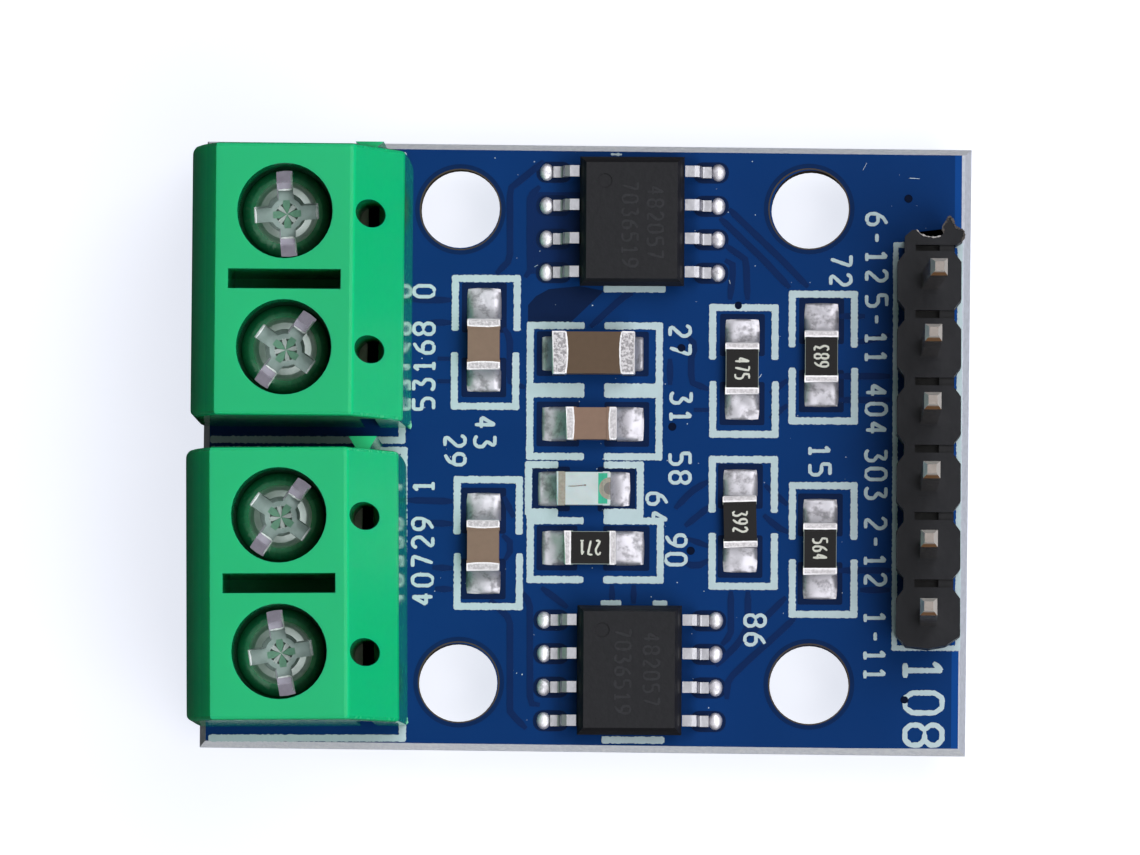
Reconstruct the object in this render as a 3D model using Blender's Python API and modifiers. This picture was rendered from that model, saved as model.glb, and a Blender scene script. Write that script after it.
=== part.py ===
"""Small two-channel motor driver board with screw terminals and a pin header.

The board lies flat. X runs from the terminal blocks to the pin header, Y runs
across, and Z points up from the underside of the board, which is at zero.
All lengths are in metres and all angles in degrees unless a name says otherwise.
"""

import math

import bmesh
import bpy
from mathutils import Matrix, Vector

# Circuit board
BOARD_LENGTH = 0.0290
BOARD_WIDTH = 0.0230
BOARD_THICKNESS = 0.0016
BOARD_OUTLINE_TURN = -0.4
SCORE_DEPTH = 0.00055
SCORE_INSET = 0.00024
LEG_STICK_OUT = 0.0015

# The field of small parts runs along X between these distances from the board's ends.
# Places in it are shares: of the field along X, and of half the board's width along Y.
FIELD_FROM_LEFT = 0.0086
FIELD_FROM_RIGHT = 0.0028

# Mounting holes
MOUNT_HOLE_DIAMETER = 0.0030
MOUNT_SHARES_X = (0.0625, 0.8182)
MOUNT_SHARES_Y = (-0.7765, 0.7887)

# Fits between the pieces
SEAT_GAP = 0.00003
INSERT_GAP = 0.00004
RUNNING_GAP = 0.00006

# Terminal blocks: inset from the board's end, side of the board's middle, and turn
POLE_PITCH = 0.00508
BLOCK_PLACES = {"upper": (0.00340, 1, -0.2), "lower": (0.00327, -1, 0.5)}
BLOCK_PAIR_GAP = 0.00118
BLOCK_PAIR_Y = 0.00015
BLOCK_WIDTH = 0.01016
BLOCK_HEIGHT = 0.0100
BLOCK_FRONT = 0.00362
BLOCK_REAR = 0.00450
FRONT_LEAN = 0.00105
FRONT_BREAK_HEIGHT = 0.0059
RIDGE_SETBACK = 0.00256
REAR_SHOULDER_HEIGHT = 0.00575
REAR_DRAFT = 0.00016
BLOCK_EDGE_RADIUS = 0.00014
BLOCK_CORNER_RADIUS = 0.00045

# Openings in a terminal block
WELL_DIAMETER = 0.00356
WELL_FLOOR_HEIGHT = 0.0073
SHELF_THICKNESS = 0.00045
DIVIDER_SLOT_LENGTH = 0.00420
DIVIDER_SLOT_WIDTH = 0.00074
DIVIDER_SLOT_DEPTH = 0.0070
PROBE_HOLE_DIAMETER = 0.00105
PROBE_HOLE_SETBACK = 0.00315
FUNNEL_WIDTH = 0.0038
FUNNEL_TOP_HEIGHT = 0.0046
FUNNEL_SILL_HEIGHT = 0.00065

# Dovetail that hooks a block to its neighbour; the upper block's is trimmed at the board's edge
TONGUE_ROOT_WIDTH = 0.00046
TONGUE_TIP_WIDTH = 0.00106
TONGUE_REACH = {"upper": 0.00024, "lower": 0.00050}
TONGUE_SETBACK = 0.00305
TONGUE_HEIGHT = 0.0072
TONGUE_FIT = 0.00006

# Rising cage clamp in each pole
CAGE_WIDTH = 0.00360
CAGE_DEPTH = 0.00300
CAGE_FLOOR = 0.00060
CAGE_SIDE = 0.00045
CAGE_ROOF = 0.00120
CAGE_CORNER_RADIUS = 0.00035
CAGE_REST_HEIGHT = 0.00055
WIRE_SPACE = 0.00190

# Contact plate with its solder leg
PLATE_THICKNESS = 0.00060
PLATE_FRONT = 0.00205
PLATE_SIDE_GAP = 0.00010
PLATE_BEND_RADIUS = 0.00050
LEG_SETBACK = 0.00300
LEG_WIDTH = 0.00100
LEG_TIP_SHARE = 0.6
LEG_HOLE_DIAMETER = 0.00140

# Clamp screw, with its recess measured down from the crown
SCREW_HEAD_DIAMETER = 0.00334
SCREW_HEAD_HEIGHT = 0.00125
SCREW_RIM_HEIGHT = 0.00045
SCREW_SHANK_DIAMETER = 0.00250
SCREW_TIP_CHAMFER = 0.00038
SCREW_SLOT_WIDTH = 0.00060
SCREW_SLOT_DEPTH = 0.00062
CROSS_ARM_ACROSS_SLOT = 0.00246
CROSS_ARM_ALONG_SLOT = 0.00190
CROSS_ARM_WIDTH = 0.00065
CROSS_DEPTH = 0.00090
CROSS_TAPER = 0.00010
PIT_TOP_DIAMETER = 0.00170
PIT_FLOOR_DIAMETER = 0.00122
PIT_DEPTH = 0.00088
STAR_DIAMETER = 0.00116
STAR_DEPTH = 0.00120
STAR_SIDES = 8
SCREW_TURNS = {"upper_1": 4.0, "upper_2": -35.0, "lower_1": -35.0, "lower_2": 9.0}

# Eight-lead driver chips
CHIP_PLACES = {"upper": (0.4335, 0.7435), "lower": (0.4324, -0.7339)}
CHIP_BODY_LENGTH = 0.00490
CHIP_BODY_WIDTH = 0.00395
CHIP_BODY_BOTTOM = 0.00012
CHIP_BODY_TOP = 0.00157
CHIP_DRAFT = 0.00014
CHIP_BEVEL = 0.00022
CHIP_DIMPLE_DIAMETER = 0.00056
CHIP_DIMPLE_DEPTH = 0.00006
CHIP_DIMPLE_INSET = 0.00095
LEAD_PITCH = 0.00127
LEAD_SPAN = 0.00600
LEAD_WIDTH = 0.00042
LEAD_THICKNESS = 0.00021
LEAD_EXIT_HEIGHT = 0.00085
LEAD_SHOULDER = 0.00050
LEAD_FOOT = 0.00045
LEAD_BEND_RADIUS = 0.00016
LEADS_PER_SIDE = 4

# Two-ended chips: length, width, height, end cap length
CAPACITOR_0805 = (0.00195, 0.00124, 0.00085, 0.00040)
CAPACITOR_1206 = (0.00315, 0.00162, 0.00105, 0.00050)
RESISTOR_0805 = (0.00198, 0.00128, 0.00050, 0.00034)
LED_0805 = (0.00205, 0.00128, 0.00070, 0.00030)
END_CAP_RISE = 0.00002
CHIP_EDGE_RADIUS = 0.00006
CHIP_STAND_OFF = 0.00003

# Two-ended chips: size, where each lies in the field and the angle of its long axis from X
CAPACITORS = {
    "capacitor_left_upper": (CAPACITOR_0805, 0.1154, 0.3374, 90.0),
    "capacitor_left_lower": (CAPACITOR_0805, 0.1165, -0.3252, 90.0),
    "capacitor_large": (CAPACITOR_1206, 0.3523, 0.3104, 0.0),
    "capacitor_middle": (CAPACITOR_0805, 0.3483, 0.0783, 0.0),
}
RESISTORS = {
    "resistor_led": (RESISTOR_0805, 0.3466, -0.3304, 0.0),
    "resistor_upper_1": (RESISTOR_0805, 0.6716, 0.2626, 90.0),
    "resistor_upper_2": (RESISTOR_0805, 0.8420, 0.3035, 90.0),
    "resistor_lower_1": (RESISTOR_0805, 0.6687, -0.2417, 91.5),
    "resistor_lower_2": (RESISTOR_0805, 0.8409, -0.3304, 90.0),
}
LED_PLACE = (0.3318, -0.1357, 0.0)

# Pin header
PIN_PITCH = 0.00254
PIN_WIDTH = 0.00064
PIN_RISE = 0.0085
PIN_TIP_LENGTH = 0.00040
PIN_TIP_WIDTH = 0.00034
PIN_HOLE_DIAMETER = 0.00102
HEADER_INSET = 0.00152
HEADER_Y = -0.00008
HEADER_HEIGHT = 0.00250
HEADER_CELL_WIDTH = 0.00241
HEADER_NECK_WIDTH = 0.00187
HEADER_CELL_FLAT = 0.00140
HEADER_CELL_CHAMFER = 0.00036
HEADER_NOTCH_WIDTH = 0.00030
HEADER_NOTCH_DEPTH = 0.00060
HEADER_NOTCH_FLOOR = 0.00105
HEADER_NOTCH_RAMP = 0.00055
HEADER_SNAPPED_LENGTH = 0.00050
HEADER_HORN_LENGTH = 0.00045
HEADER_STUB_LENGTH = 0.00008

# How far each pin tip leans from its base, along X and Y, counted from the top pin
PIN_LEANS = (
    (0.00033, 0.00022),
    (0.00012, 0.00031),
    (0.00010, 0.00030),
    (0.00007, 0.00026),
    (-0.00002, 0.00023),
    (-0.00003, 0.00022),
)

# Round work
FINE_SEGMENTS = 40
COARSE_SEGMENTS = 24
ARC_STEPS = 5
LARGEST_CUT = 0.45
WELD_DISTANCE = 1e-7
SMOOTH_ANGLE = math.radians(32.0)
CUT_MARGIN = 0.0005

# Heights that follow from the sizes above
BOARD_TOP = BOARD_THICKNESS
BLOCK_SEAT = BOARD_TOP + SEAT_GAP
CAGE_INNER_FLOOR = CAGE_REST_HEIGHT + CAGE_FLOOR
PLATE_BOTTOM = CAGE_INNER_FLOOR + WIRE_SPACE
PLATE_TOP = PLATE_BOTTOM + PLATE_THICKNESS
CAGE_INNER_ROOF = PLATE_TOP + PLATE_SIDE_GAP
CAGE_TOP = CAGE_INNER_ROOF + CAGE_ROOF
CHAMBER_TOP = WELL_FLOOR_HEIGHT - SHELF_THICKNESS
CAGE_INNER_WIDTH = CAGE_WIDTH - 2 * CAGE_SIDE
PLATE_WIDTH = CAGE_INNER_WIDTH - 2 * PLATE_SIDE_GAP
SCREW_SEAT = WELL_FLOOR_HEIGHT + SEAT_GAP
SCREW_TIP = PLATE_TOP + SEAT_GAP
SHANK_HOLE_DIAMETER = SCREW_SHANK_DIAMETER + 2 * RUNNING_GAP


def clear_scene():
    """Start from nothing, so that only this model is in the file."""
    for item in list(bpy.data.objects):
        bpy.data.objects.remove(item, do_unlink=True)


def make_collection(name):
    """Add a collection to the scene."""
    collection = bpy.data.collections.new(name)
    bpy.context.scene.collection.children.link(collection)
    return collection


def make_material(name, colour, roughness, metallic=0.0):
    """Give a finish as a Principled shader with plain values."""
    material = bpy.data.materials.new(name)
    material.use_nodes = True
    shader = material.node_tree.nodes["Principled BSDF"]
    shader.inputs["Base Color"].default_value = (*colour, 1.0)
    shader.inputs["Roughness"].default_value = roughness
    shader.inputs["Metallic"].default_value = metallic
    return material


def mesh_from(bm, name, material=None):
    """Close a bmesh into mesh data with outward faces and smooth round sides."""
    bmesh.ops.remove_doubles(bm, verts=bm.verts[:], dist=WELD_DISTANCE)
    bmesh.ops.recalc_face_normals(bm, faces=bm.faces[:])
    mesh = bpy.data.meshes.new(name)
    bm.to_mesh(mesh)
    bm.free()
    if material:
        mesh.materials.append(material)
    mesh.shade_smooth()
    mesh.set_sharp_from_angle(angle=SMOOTH_ANGLE)
    return mesh


def place(name, mesh, collection, location=(0.0, 0.0, 0.0), turn=0.0, parent=None):
    """Put one named piece in its place, turned about the vertical."""
    piece = bpy.data.objects.new(name, mesh)
    collection.objects.link(piece)
    piece.location = location
    piece.rotation_euler = (0.0, 0.0, math.radians(turn))
    piece.parent = parent
    return piece


def add_box(bm, low, high):
    """Add a box between two corners."""
    low, high = Vector(low), Vector(high)
    middle = (low + high) / 2
    size = high - low
    matrix = Matrix.Translation(middle) @ Matrix.Diagonal((*size, 1.0))
    bmesh.ops.create_cube(bm, size=1.0, matrix=matrix)


def add_cylinder(bm, x, y, low, high, diameter, segments, top_diameter=None):
    """Add an upright cylinder, or a cone where the top has its own diameter."""
    top = diameter if top_diameter is None else top_diameter
    matrix = Matrix.Translation((x, y, (low + high) / 2))
    bmesh.ops.create_cone(
        bm, cap_ends=True, segments=segments, radius1=diameter / 2, radius2=top / 2,
        depth=high - low, matrix=matrix,
    )


def run_of_sections(sections, bm=None):
    """Extrude a cube through rectangular sections (x, y, z, size_x, size_y), going up."""
    bm = bm or bmesh.new()
    made = bmesh.ops.create_cube(bm, size=1.0)["verts"]

    def settle(verts, section, old_centre):
        x, y, z, size_x, size_y = section
        for vert in verts:
            side_x = math.copysign(size_x / 2, vert.co.x - old_centre[0])
            side_y = math.copysign(size_y / 2, vert.co.y - old_centre[1])
            vert.co = (x + side_x, y + side_y, z)

    lower = [vert for vert in made if vert.co.z < 0]
    upper = [vert for vert in made if vert.co.z > 0]
    settle(lower, sections[0], (0.0, 0.0))
    settle(upper, sections[1], (0.0, 0.0))
    top = next(face for face in upper[0].link_faces if all(v in upper for v in face.verts))
    for before, section in zip(sections[1:], sections[2:]):
        top = bmesh.ops.extrude_discrete_faces(bm, faces=[top])["faces"][0]
        settle(top.verts, section, before)
    return bm


def arc(centre, radius, start, end, steps=ARC_STEPS):
    """Points along an arc, with its angles in degrees."""
    points = []
    for step in range(steps + 1):
        angle = math.radians(start + (end - start) * step / steps)
        points.append((centre[0] + radius * math.cos(angle), centre[1] + radius * math.sin(angle)))
    return points


def rounded(points, radius, steps=2, closed=True):
    """Round each corner of a path by cutting it back and bowing the cut.

    The radius is one value, or one for each corner.
    """
    result = []
    count = len(points)
    radii = radius if isinstance(radius, tuple) else (radius,) * count
    for index, point in enumerate(points):
        corner = Vector(point)
        if not closed and index in (0, count - 1):
            result.append(tuple(corner))
            continue
        before = Vector(points[index - 1]) - corner
        after = Vector(points[(index + 1) % count]) - corner
        cut = min(radii[index], before.length * LARGEST_CUT, after.length * LARGEST_CUT)
        first = corner + before.normalized() * cut
        last = corner + after.normalized() * cut
        for step in range(steps + 1):
            along = step / steps
            result.append(tuple(
                first * (1 - along) ** 2 + corner * 2 * along * (1 - along) + last * along ** 2
            ))
    return result


def bent_strip(path, thickness):
    """Outline of a strip of even thickness that follows an open path."""
    left, right = [], []
    for index, point in enumerate(path):
        here = Vector(point)
        before = Vector(path[max(index - 1, 0)])
        after = Vector(path[min(index + 1, len(path) - 1)])
        into = (here - before).normalized() if index else (after - here).normalized()
        out = (after - here).normalized() if index < len(path) - 1 else into
        mean = (into + out).normalized()
        normal = Vector((-mean.y, mean.x)) * (thickness / 2) / max(mean.dot(out), 0.5)
        left.append(tuple(here + normal))
        right.append(tuple(here - normal))
    return left + right[::-1]


def outline_solid(outlines, thickness, placement, edge_radius=0.0):
    """Fill flat outlines (the first is the rim, others are holes) and thicken them."""
    curve = bpy.data.curves.new("outline", "CURVE")
    curve.dimensions = "2D"
    curve.fill_mode = "BOTH"
    curve.extrude = thickness / 2 - edge_radius
    curve.bevel_depth = edge_radius
    curve.bevel_resolution = 1
    curve.offset = -edge_radius
    for outline in outlines:
        spline = curve.splines.new("POLY")
        spline.points.add(len(outline) - 1)
        for point, (x, y) in zip(spline.points, outline):
            point.co = (x, y, 0.0, 1.0)
        spline.use_cyclic_u = True
    guide = bpy.data.objects.new("outline", curve)
    bpy.context.scene.collection.objects.link(guide)
    guide.matrix_world = placement
    depsgraph = bpy.context.evaluated_depsgraph_get()
    mesh = bpy.data.meshes.new_from_object(guide.evaluated_get(depsgraph))
    bm = bmesh.new()
    bm.from_mesh(mesh)
    bmesh.ops.remove_doubles(bm, verts=bm.verts[:], dist=WELD_DISTANCE)
    bm.transform(guide.matrix_world)
    bmesh.ops.recalc_face_normals(bm, faces=bm.faces[:])
    bpy.data.objects.remove(guide, do_unlink=True)
    bpy.data.curves.remove(curve)
    bpy.data.meshes.remove(mesh)
    return bm


def standing_in_xz(y=0.0):
    """Placement of a flat outline whose first axis is X and second is Z."""
    return Matrix.Translation((0.0, y, 0.0)) @ Matrix.Rotation(math.radians(90.0), 4, "X")


def standing_in_yz(x=0.0):
    """Placement of a flat outline whose first axis is Y and second is Z."""
    turned = Matrix.Rotation(math.radians(90.0), 4, "Z") @ Matrix.Rotation(math.radians(90.0), 4, "X")
    return Matrix.Translation((x, 0.0, 0.0)) @ turned


def carve(mesh, steps, cutters, name):
    """Apply a row of Booleans (operation, bmesh) to a mesh and return the finished mesh."""
    body = bpy.data.objects.new(name, mesh)
    bpy.context.scene.collection.objects.link(body)
    tools = []
    for index, (operation, bm) in enumerate(steps):
        tool_mesh = mesh_from(bm, f"{name}_tool_{index}")
        tool = bpy.data.objects.new(f"{name}_tool_{index}", tool_mesh)
        cutters.objects.link(tool)
        tool.hide_render = True
        tool.display_type = "WIRE"
        modifier = body.modifiers.new(f"step_{index}", "BOOLEAN")
        modifier.operation = operation
        modifier.solver = "EXACT"
        modifier.object = tool
        tools.append(tool)
    depsgraph = bpy.context.evaluated_depsgraph_get()
    finished = bpy.data.meshes.new_from_object(body.evaluated_get(depsgraph))
    finished.name = name
    for item in [body] + tools:
        bpy.data.objects.remove(item, do_unlink=True)
    finished.shade_smooth()
    finished.set_sharp_from_angle(angle=SMOOTH_ANGLE)
    return finished


def in_field(share_x, share_y):
    """Place on the board of a share of the small parts' field."""
    left = FIELD_FROM_LEFT - BOARD_LENGTH / 2
    right = BOARD_LENGTH / 2 - FIELD_FROM_RIGHT
    return left + (right - left) * share_x, share_y * BOARD_WIDTH / 2


def mount_hole_places():
    """Centres of the four mounting holes."""
    for share_x in MOUNT_SHARES_X:
        for share_y in MOUNT_SHARES_Y:
            yield in_field(share_x, share_y)


def pole_offsets():
    """Y of the two poles of a terminal block, the upper one first."""
    return (POLE_PITCH / 2, -POLE_PITCH / 2)


def block_matrix(block):
    """Where a terminal block stands on the board."""
    inset, side, turn = BLOCK_PLACES[block]
    x = inset - BOARD_LENGTH / 2
    y = BLOCK_PAIR_Y + side * (BLOCK_WIDTH + BLOCK_PAIR_GAP) / 2
    return Matrix.Translation((x, y, BLOCK_SEAT)) @ Matrix.Rotation(math.radians(turn), 4, "Z")


def leg_places():
    """Centres of the four terminal solder legs."""
    for block in BLOCK_PLACES:
        for offset in pole_offsets():
            yield block_matrix(block) @ Vector((LEG_SETBACK, offset, 0.0))


def header_centre():
    """Middle of the pin header on the board."""
    return BOARD_LENGTH / 2 - HEADER_INSET, HEADER_Y


def pin_places():
    """Centres of the header pins, the upper one first."""
    x, y = header_centre()
    count = len(PIN_LEANS)
    for index in range(count):
        yield x, y + ((count - 1) / 2 - index) * PIN_PITCH


def build_board(parts, cutters, material):
    """Glass-fibre board, snapped from its panel along scores a little askew of its layout."""
    length, width = BOARD_LENGTH, BOARD_WIDTH
    inner_length, inner_width = length - 2 * SCORE_INSET, width - 2 * SCORE_INSET
    bm = run_of_sections([
        (0.0, 0.0, 0.0, inner_length, inner_width),
        (0.0, 0.0, SCORE_DEPTH, length, width),
        (0.0, 0.0, BOARD_THICKNESS - SCORE_DEPTH, length, width),
        (0.0, 0.0, BOARD_THICKNESS, inner_length, inner_width),
    ])
    bm.transform(Matrix.Rotation(math.radians(BOARD_OUTLINE_TURN), 4, "Z"))
    holes = bmesh.new()
    low, high = -CUT_MARGIN, BOARD_THICKNESS + CUT_MARGIN
    for x, y in mount_hole_places():
        add_cylinder(holes, x, y, low, high, MOUNT_HOLE_DIAMETER, FINE_SEGMENTS)
    for leg in leg_places():
        add_cylinder(holes, leg.x, leg.y, low, high, LEG_HOLE_DIAMETER, COARSE_SEGMENTS)
    for x, y in pin_places():
        add_cylinder(holes, x, y, low, high, PIN_HOLE_DIAMETER, COARSE_SEGMENTS)
    blank = mesh_from(bm, "circuit_board", material)
    mesh = carve(blank, [("DIFFERENCE", holes)], cutters, "circuit_board")
    place("circuit_board", mesh, parts)


def block_profile():
    """Side outline of a terminal block, X and Z, from the front foot round over the top."""
    rise = BLOCK_HEIGHT - FRONT_BREAK_HEIGHT
    radius = (FRONT_LEAN ** 2 + rise ** 2) / (2 * FRONT_LEAN)
    sweep = math.degrees(math.asin(rise / radius))
    front = arc((radius - BLOCK_FRONT, FRONT_BREAK_HEIGHT), radius, 180.0, 180.0 - sweep)
    top = rounded([
        front[-1],
        (RIDGE_SETBACK, BLOCK_HEIGHT),
        (BLOCK_REAR - REAR_DRAFT, REAR_SHOULDER_HEIGHT),
        (BLOCK_REAR, 0.0),
    ], BLOCK_EDGE_RADIUS, closed=False)
    return [(-BLOCK_FRONT, 0.0)] + front[:-1] + top


def block_plan():
    """Tool that rounds the upright corners of a terminal block in plan."""
    half = BLOCK_WIDTH / 2
    height = BLOCK_HEIGHT + 2 * CUT_MARGIN
    wide, tight = BLOCK_CORNER_RADIUS, BLOCK_EDGE_RADIUS
    plan = rounded([
        (-BLOCK_FRONT, -half), (BLOCK_REAR, -half), (BLOCK_REAR, half), (-BLOCK_FRONT, half),
    ], (wide, tight, wide, wide), steps=ARC_STEPS)
    return outline_solid([plan], height, Matrix.Translation((0.0, 0.0, BLOCK_HEIGHT / 2)))


def dovetail(reach, grow=0.0):
    """Plan outline of the tongue that hooks one terminal block to the next."""
    half_root = TONGUE_ROOT_WIDTH / 2 + grow
    half_tip = TONGUE_TIP_WIDTH / 2 + grow
    tip = reach + grow
    return [
        (TONGUE_SETBACK - half_root, -CUT_MARGIN),
        (TONGUE_SETBACK + half_root, -CUT_MARGIN),
        (TONGUE_SETBACK + half_root, 0.0),
        (TONGUE_SETBACK + half_tip, tip),
        (TONGUE_SETBACK - half_tip, tip),
        (TONGUE_SETBACK - half_root, 0.0),
    ]


def tongue_tool(reach):
    """The tongue on the upper side of a block, flat on top."""
    middle = Matrix.Translation((0.0, BLOCK_WIDTH / 2, TONGUE_HEIGHT / 2))
    return outline_solid([dovetail(reach)], TONGUE_HEIGHT, middle)


def groove_tool():
    """The groove for a neighbour's tongue, open below and closed under the slope."""
    height = TONGUE_HEIGHT + TONGUE_FIT + CUT_MARGIN
    middle = Matrix.Translation((0.0, -BLOCK_WIDTH / 2, height / 2 - CUT_MARGIN))
    return outline_solid([dovetail(TONGUE_REACH["lower"], TONGUE_FIT)], height, middle)


def pole_cavity(offset):
    """Tools that hollow one pole: chamber, plate slot, well, shank hole and probe hole."""
    chamber_x = CAGE_DEPTH / 2 + RUNNING_GAP
    chamber_y = CAGE_WIDTH / 2 + RUNNING_GAP
    plate_x = PLATE_FRONT + INSERT_GAP
    plate_y = PLATE_WIDTH / 2 + INSERT_GAP
    leg_x = LEG_SETBACK + PLATE_THICKNESS / 2 + INSERT_GAP
    above = BLOCK_HEIGHT + CUT_MARGIN
    chamber = bmesh.new()
    add_box(
        chamber, (-chamber_x, offset - chamber_y, -CUT_MARGIN),
        (chamber_x, offset + chamber_y, CHAMBER_TOP),
    )
    slot = bmesh.new()
    add_box(
        slot, (-plate_x, offset - plate_y, -CUT_MARGIN),
        (leg_x, offset + plate_y, PLATE_TOP + INSERT_GAP),
    )
    well = bmesh.new()
    add_cylinder(well, 0.0, offset, WELL_FLOOR_HEIGHT, above, WELL_DIAMETER, FINE_SEGMENTS)
    shank = bmesh.new()
    low, high = CHAMBER_TOP - CUT_MARGIN, WELL_FLOOR_HEIGHT + CUT_MARGIN
    add_cylinder(shank, 0.0, offset, low, high, SHANK_HOLE_DIAMETER, COARSE_SEGMENTS)
    probe = bmesh.new()
    add_cylinder(
        probe, PROBE_HOLE_SETBACK, offset, PLATE_TOP, above, PROBE_HOLE_DIAMETER, COARSE_SEGMENTS,
    )
    return [("DIFFERENCE", tool) for tool in (chamber, slot, well, shank, probe)]


def wire_funnel(offset):
    """Tool for the tapered mouth that guides a wire into the cage."""
    depth = BLOCK_FRONT - CAGE_DEPTH / 2
    inner_low, inner_high = CAGE_INNER_FLOOR, PLATE_BOTTOM - INSERT_GAP
    outer_low, outer_high = FUNNEL_SILL_HEIGHT, FUNNEL_TOP_HEIGHT
    outer_x = -BLOCK_FRONT - CUT_MARGIN
    inner_x = outer_x + depth + 2 * CUT_MARGIN
    inner = (0.0, (inner_low + inner_high) / 2, inner_x, CAGE_INNER_WIDTH, inner_high - inner_low)
    outer = (0.0, (outer_low + outer_high) / 2, outer_x, FUNNEL_WIDTH, outer_high - outer_low)
    bm = run_of_sections([outer, inner])
    for vert in bm.verts:
        across, up, along = vert.co
        vert.co = (along, across + offset, up)
    bmesh.ops.recalc_face_normals(bm, faces=bm.faces[:])
    return ("DIFFERENCE", bm)


def build_block_mesh(block, cutters, material):
    """One two-pole terminal housing, moulded in green polyamide."""
    name = f"terminal_block_{block}"
    body = outline_solid([block_profile()], BLOCK_WIDTH, standing_in_xz(), BLOCK_EDGE_RADIUS)
    blank = mesh_from(body, name, material)
    divider = bmesh.new()
    half_length, half_width = DIVIDER_SLOT_LENGTH / 2, DIVIDER_SLOT_WIDTH / 2
    floor, above = BLOCK_HEIGHT - DIVIDER_SLOT_DEPTH, BLOCK_HEIGHT + CUT_MARGIN
    add_box(divider, (-half_length, -half_width, floor), (half_length, half_width, above))
    steps = [
        ("INTERSECT", block_plan()),
        ("UNION", tongue_tool(TONGUE_REACH[block])),
        ("DIFFERENCE", groove_tool()),
        ("DIFFERENCE", divider),
    ]
    for offset in pole_offsets():
        steps += pole_cavity(offset)
        steps.append(wire_funnel(offset))
    return carve(blank, steps, cutters, name)


def build_cage_mesh(cutters, material):
    """Box clamp, folded from plated steel, whose thick roof takes the screw."""
    half = CAGE_WIDTH / 2
    half_inner = CAGE_INNER_WIDTH / 2
    height = CAGE_TOP - CAGE_REST_HEIGHT
    floor = CAGE_FLOOR
    roof = height - CAGE_ROOF
    rim = rounded([(-half, 0.0), (half, 0.0), (half, height), (-half, height)], CAGE_CORNER_RADIUS)
    window = [(-half_inner, floor), (half_inner, floor), (half_inner, roof), (-half_inner, roof)]
    body = outline_solid([rim, window], CAGE_DEPTH, standing_in_yz())
    blank = mesh_from(body, "clamp_cage", material)
    hole = bmesh.new()
    low, high = roof - floor / 2, height + CUT_MARGIN
    add_cylinder(hole, 0.0, 0.0, low, high, SHANK_HOLE_DIAMETER, COARSE_SEGMENTS)
    return carve(blank, [("DIFFERENCE", hole)], cutters, "clamp_cage")


def build_contact_mesh(material):
    """Tinned contact plate, bent down at the rear into a shouldered solder leg."""
    middle = (PLATE_BOTTOM + PLATE_TOP) / 2
    path = rounded(
        [(-PLATE_FRONT, middle), (LEG_SETBACK, middle), (LEG_SETBACK, 0.0)],
        PLATE_BEND_RADIUS, steps=3, closed=False,
    )
    bm = outline_solid([bent_strip(path, PLATE_THICKNESS)], PLATE_WIDTH, standing_in_xz())
    foot = min(bm.faces, key=lambda face: face.calc_center_median().z)
    tip = -BLOCK_SEAT - LEG_STICK_OUT
    stages = (
        (0.0, LEG_WIDTH / PLATE_WIDTH, 1.0),
        (tip + LEG_WIDTH / 3, 1.0, 1.0),
        (tip, LEG_TIP_SHARE, LEG_TIP_SHARE),
    )
    for height, width_scale, depth_scale in stages:
        foot = bmesh.ops.extrude_discrete_faces(bm, faces=[foot])["faces"][0]
        for vert in foot.verts:
            x = LEG_SETBACK + (vert.co.x - LEG_SETBACK) * depth_scale
            vert.co = (x, vert.co.y * width_scale, height)
    return mesh_from(bm, "terminal_contact", material)


def screw_profile():
    """Half section of a clamp screw, from the crown down to the tip, as radius and height."""
    head = SCREW_HEAD_DIAMETER / 2
    shank = SCREW_SHANK_DIAMETER / 2
    dome = SCREW_HEAD_HEIGHT - SCREW_RIM_HEIGHT
    crown = []
    for step in range(ARC_STEPS + 1):
        angle = math.radians(90.0 * step / ARC_STEPS)
        crown.append((head * math.sin(angle), SCREW_RIM_HEIGHT + dome * math.cos(angle)))
    length = SCREW_SEAT - SCREW_TIP
    return crown + [
        (head, 0.0),
        (shank, 0.0),
        (shank, SCREW_TIP_CHAMFER - length),
        (shank - SCREW_TIP_CHAMFER, -length),
        (0.0, -length),
    ]


def turned(profile, segments, name):
    """Turn a half section about Z with a Screw modifier and return it as a bmesh."""
    mesh = bpy.data.meshes.new(name)
    bm = bmesh.new()
    points = [bm.verts.new((radius, 0.0, height)) for radius, height in profile]
    for first, second in zip(points, points[1:]):
        bm.edges.new((first, second))
    bm.to_mesh(mesh)
    bm.free()
    blank = bpy.data.objects.new(name, mesh)
    bpy.context.scene.collection.objects.link(blank)
    screw = blank.modifiers.new("turn", "SCREW")
    screw.axis = "Z"
    screw.steps = segments
    screw.render_steps = segments
    screw.use_merge_vertices = True
    screw.merge_threshold = WELD_DISTANCE
    depsgraph = bpy.context.evaluated_depsgraph_get()
    finished = bpy.data.meshes.new_from_object(blank.evaluated_get(depsgraph))
    bm = bmesh.new()
    bm.from_mesh(finished)
    bpy.data.objects.remove(blank, do_unlink=True)
    bpy.data.meshes.remove(finished)
    return bm


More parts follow.
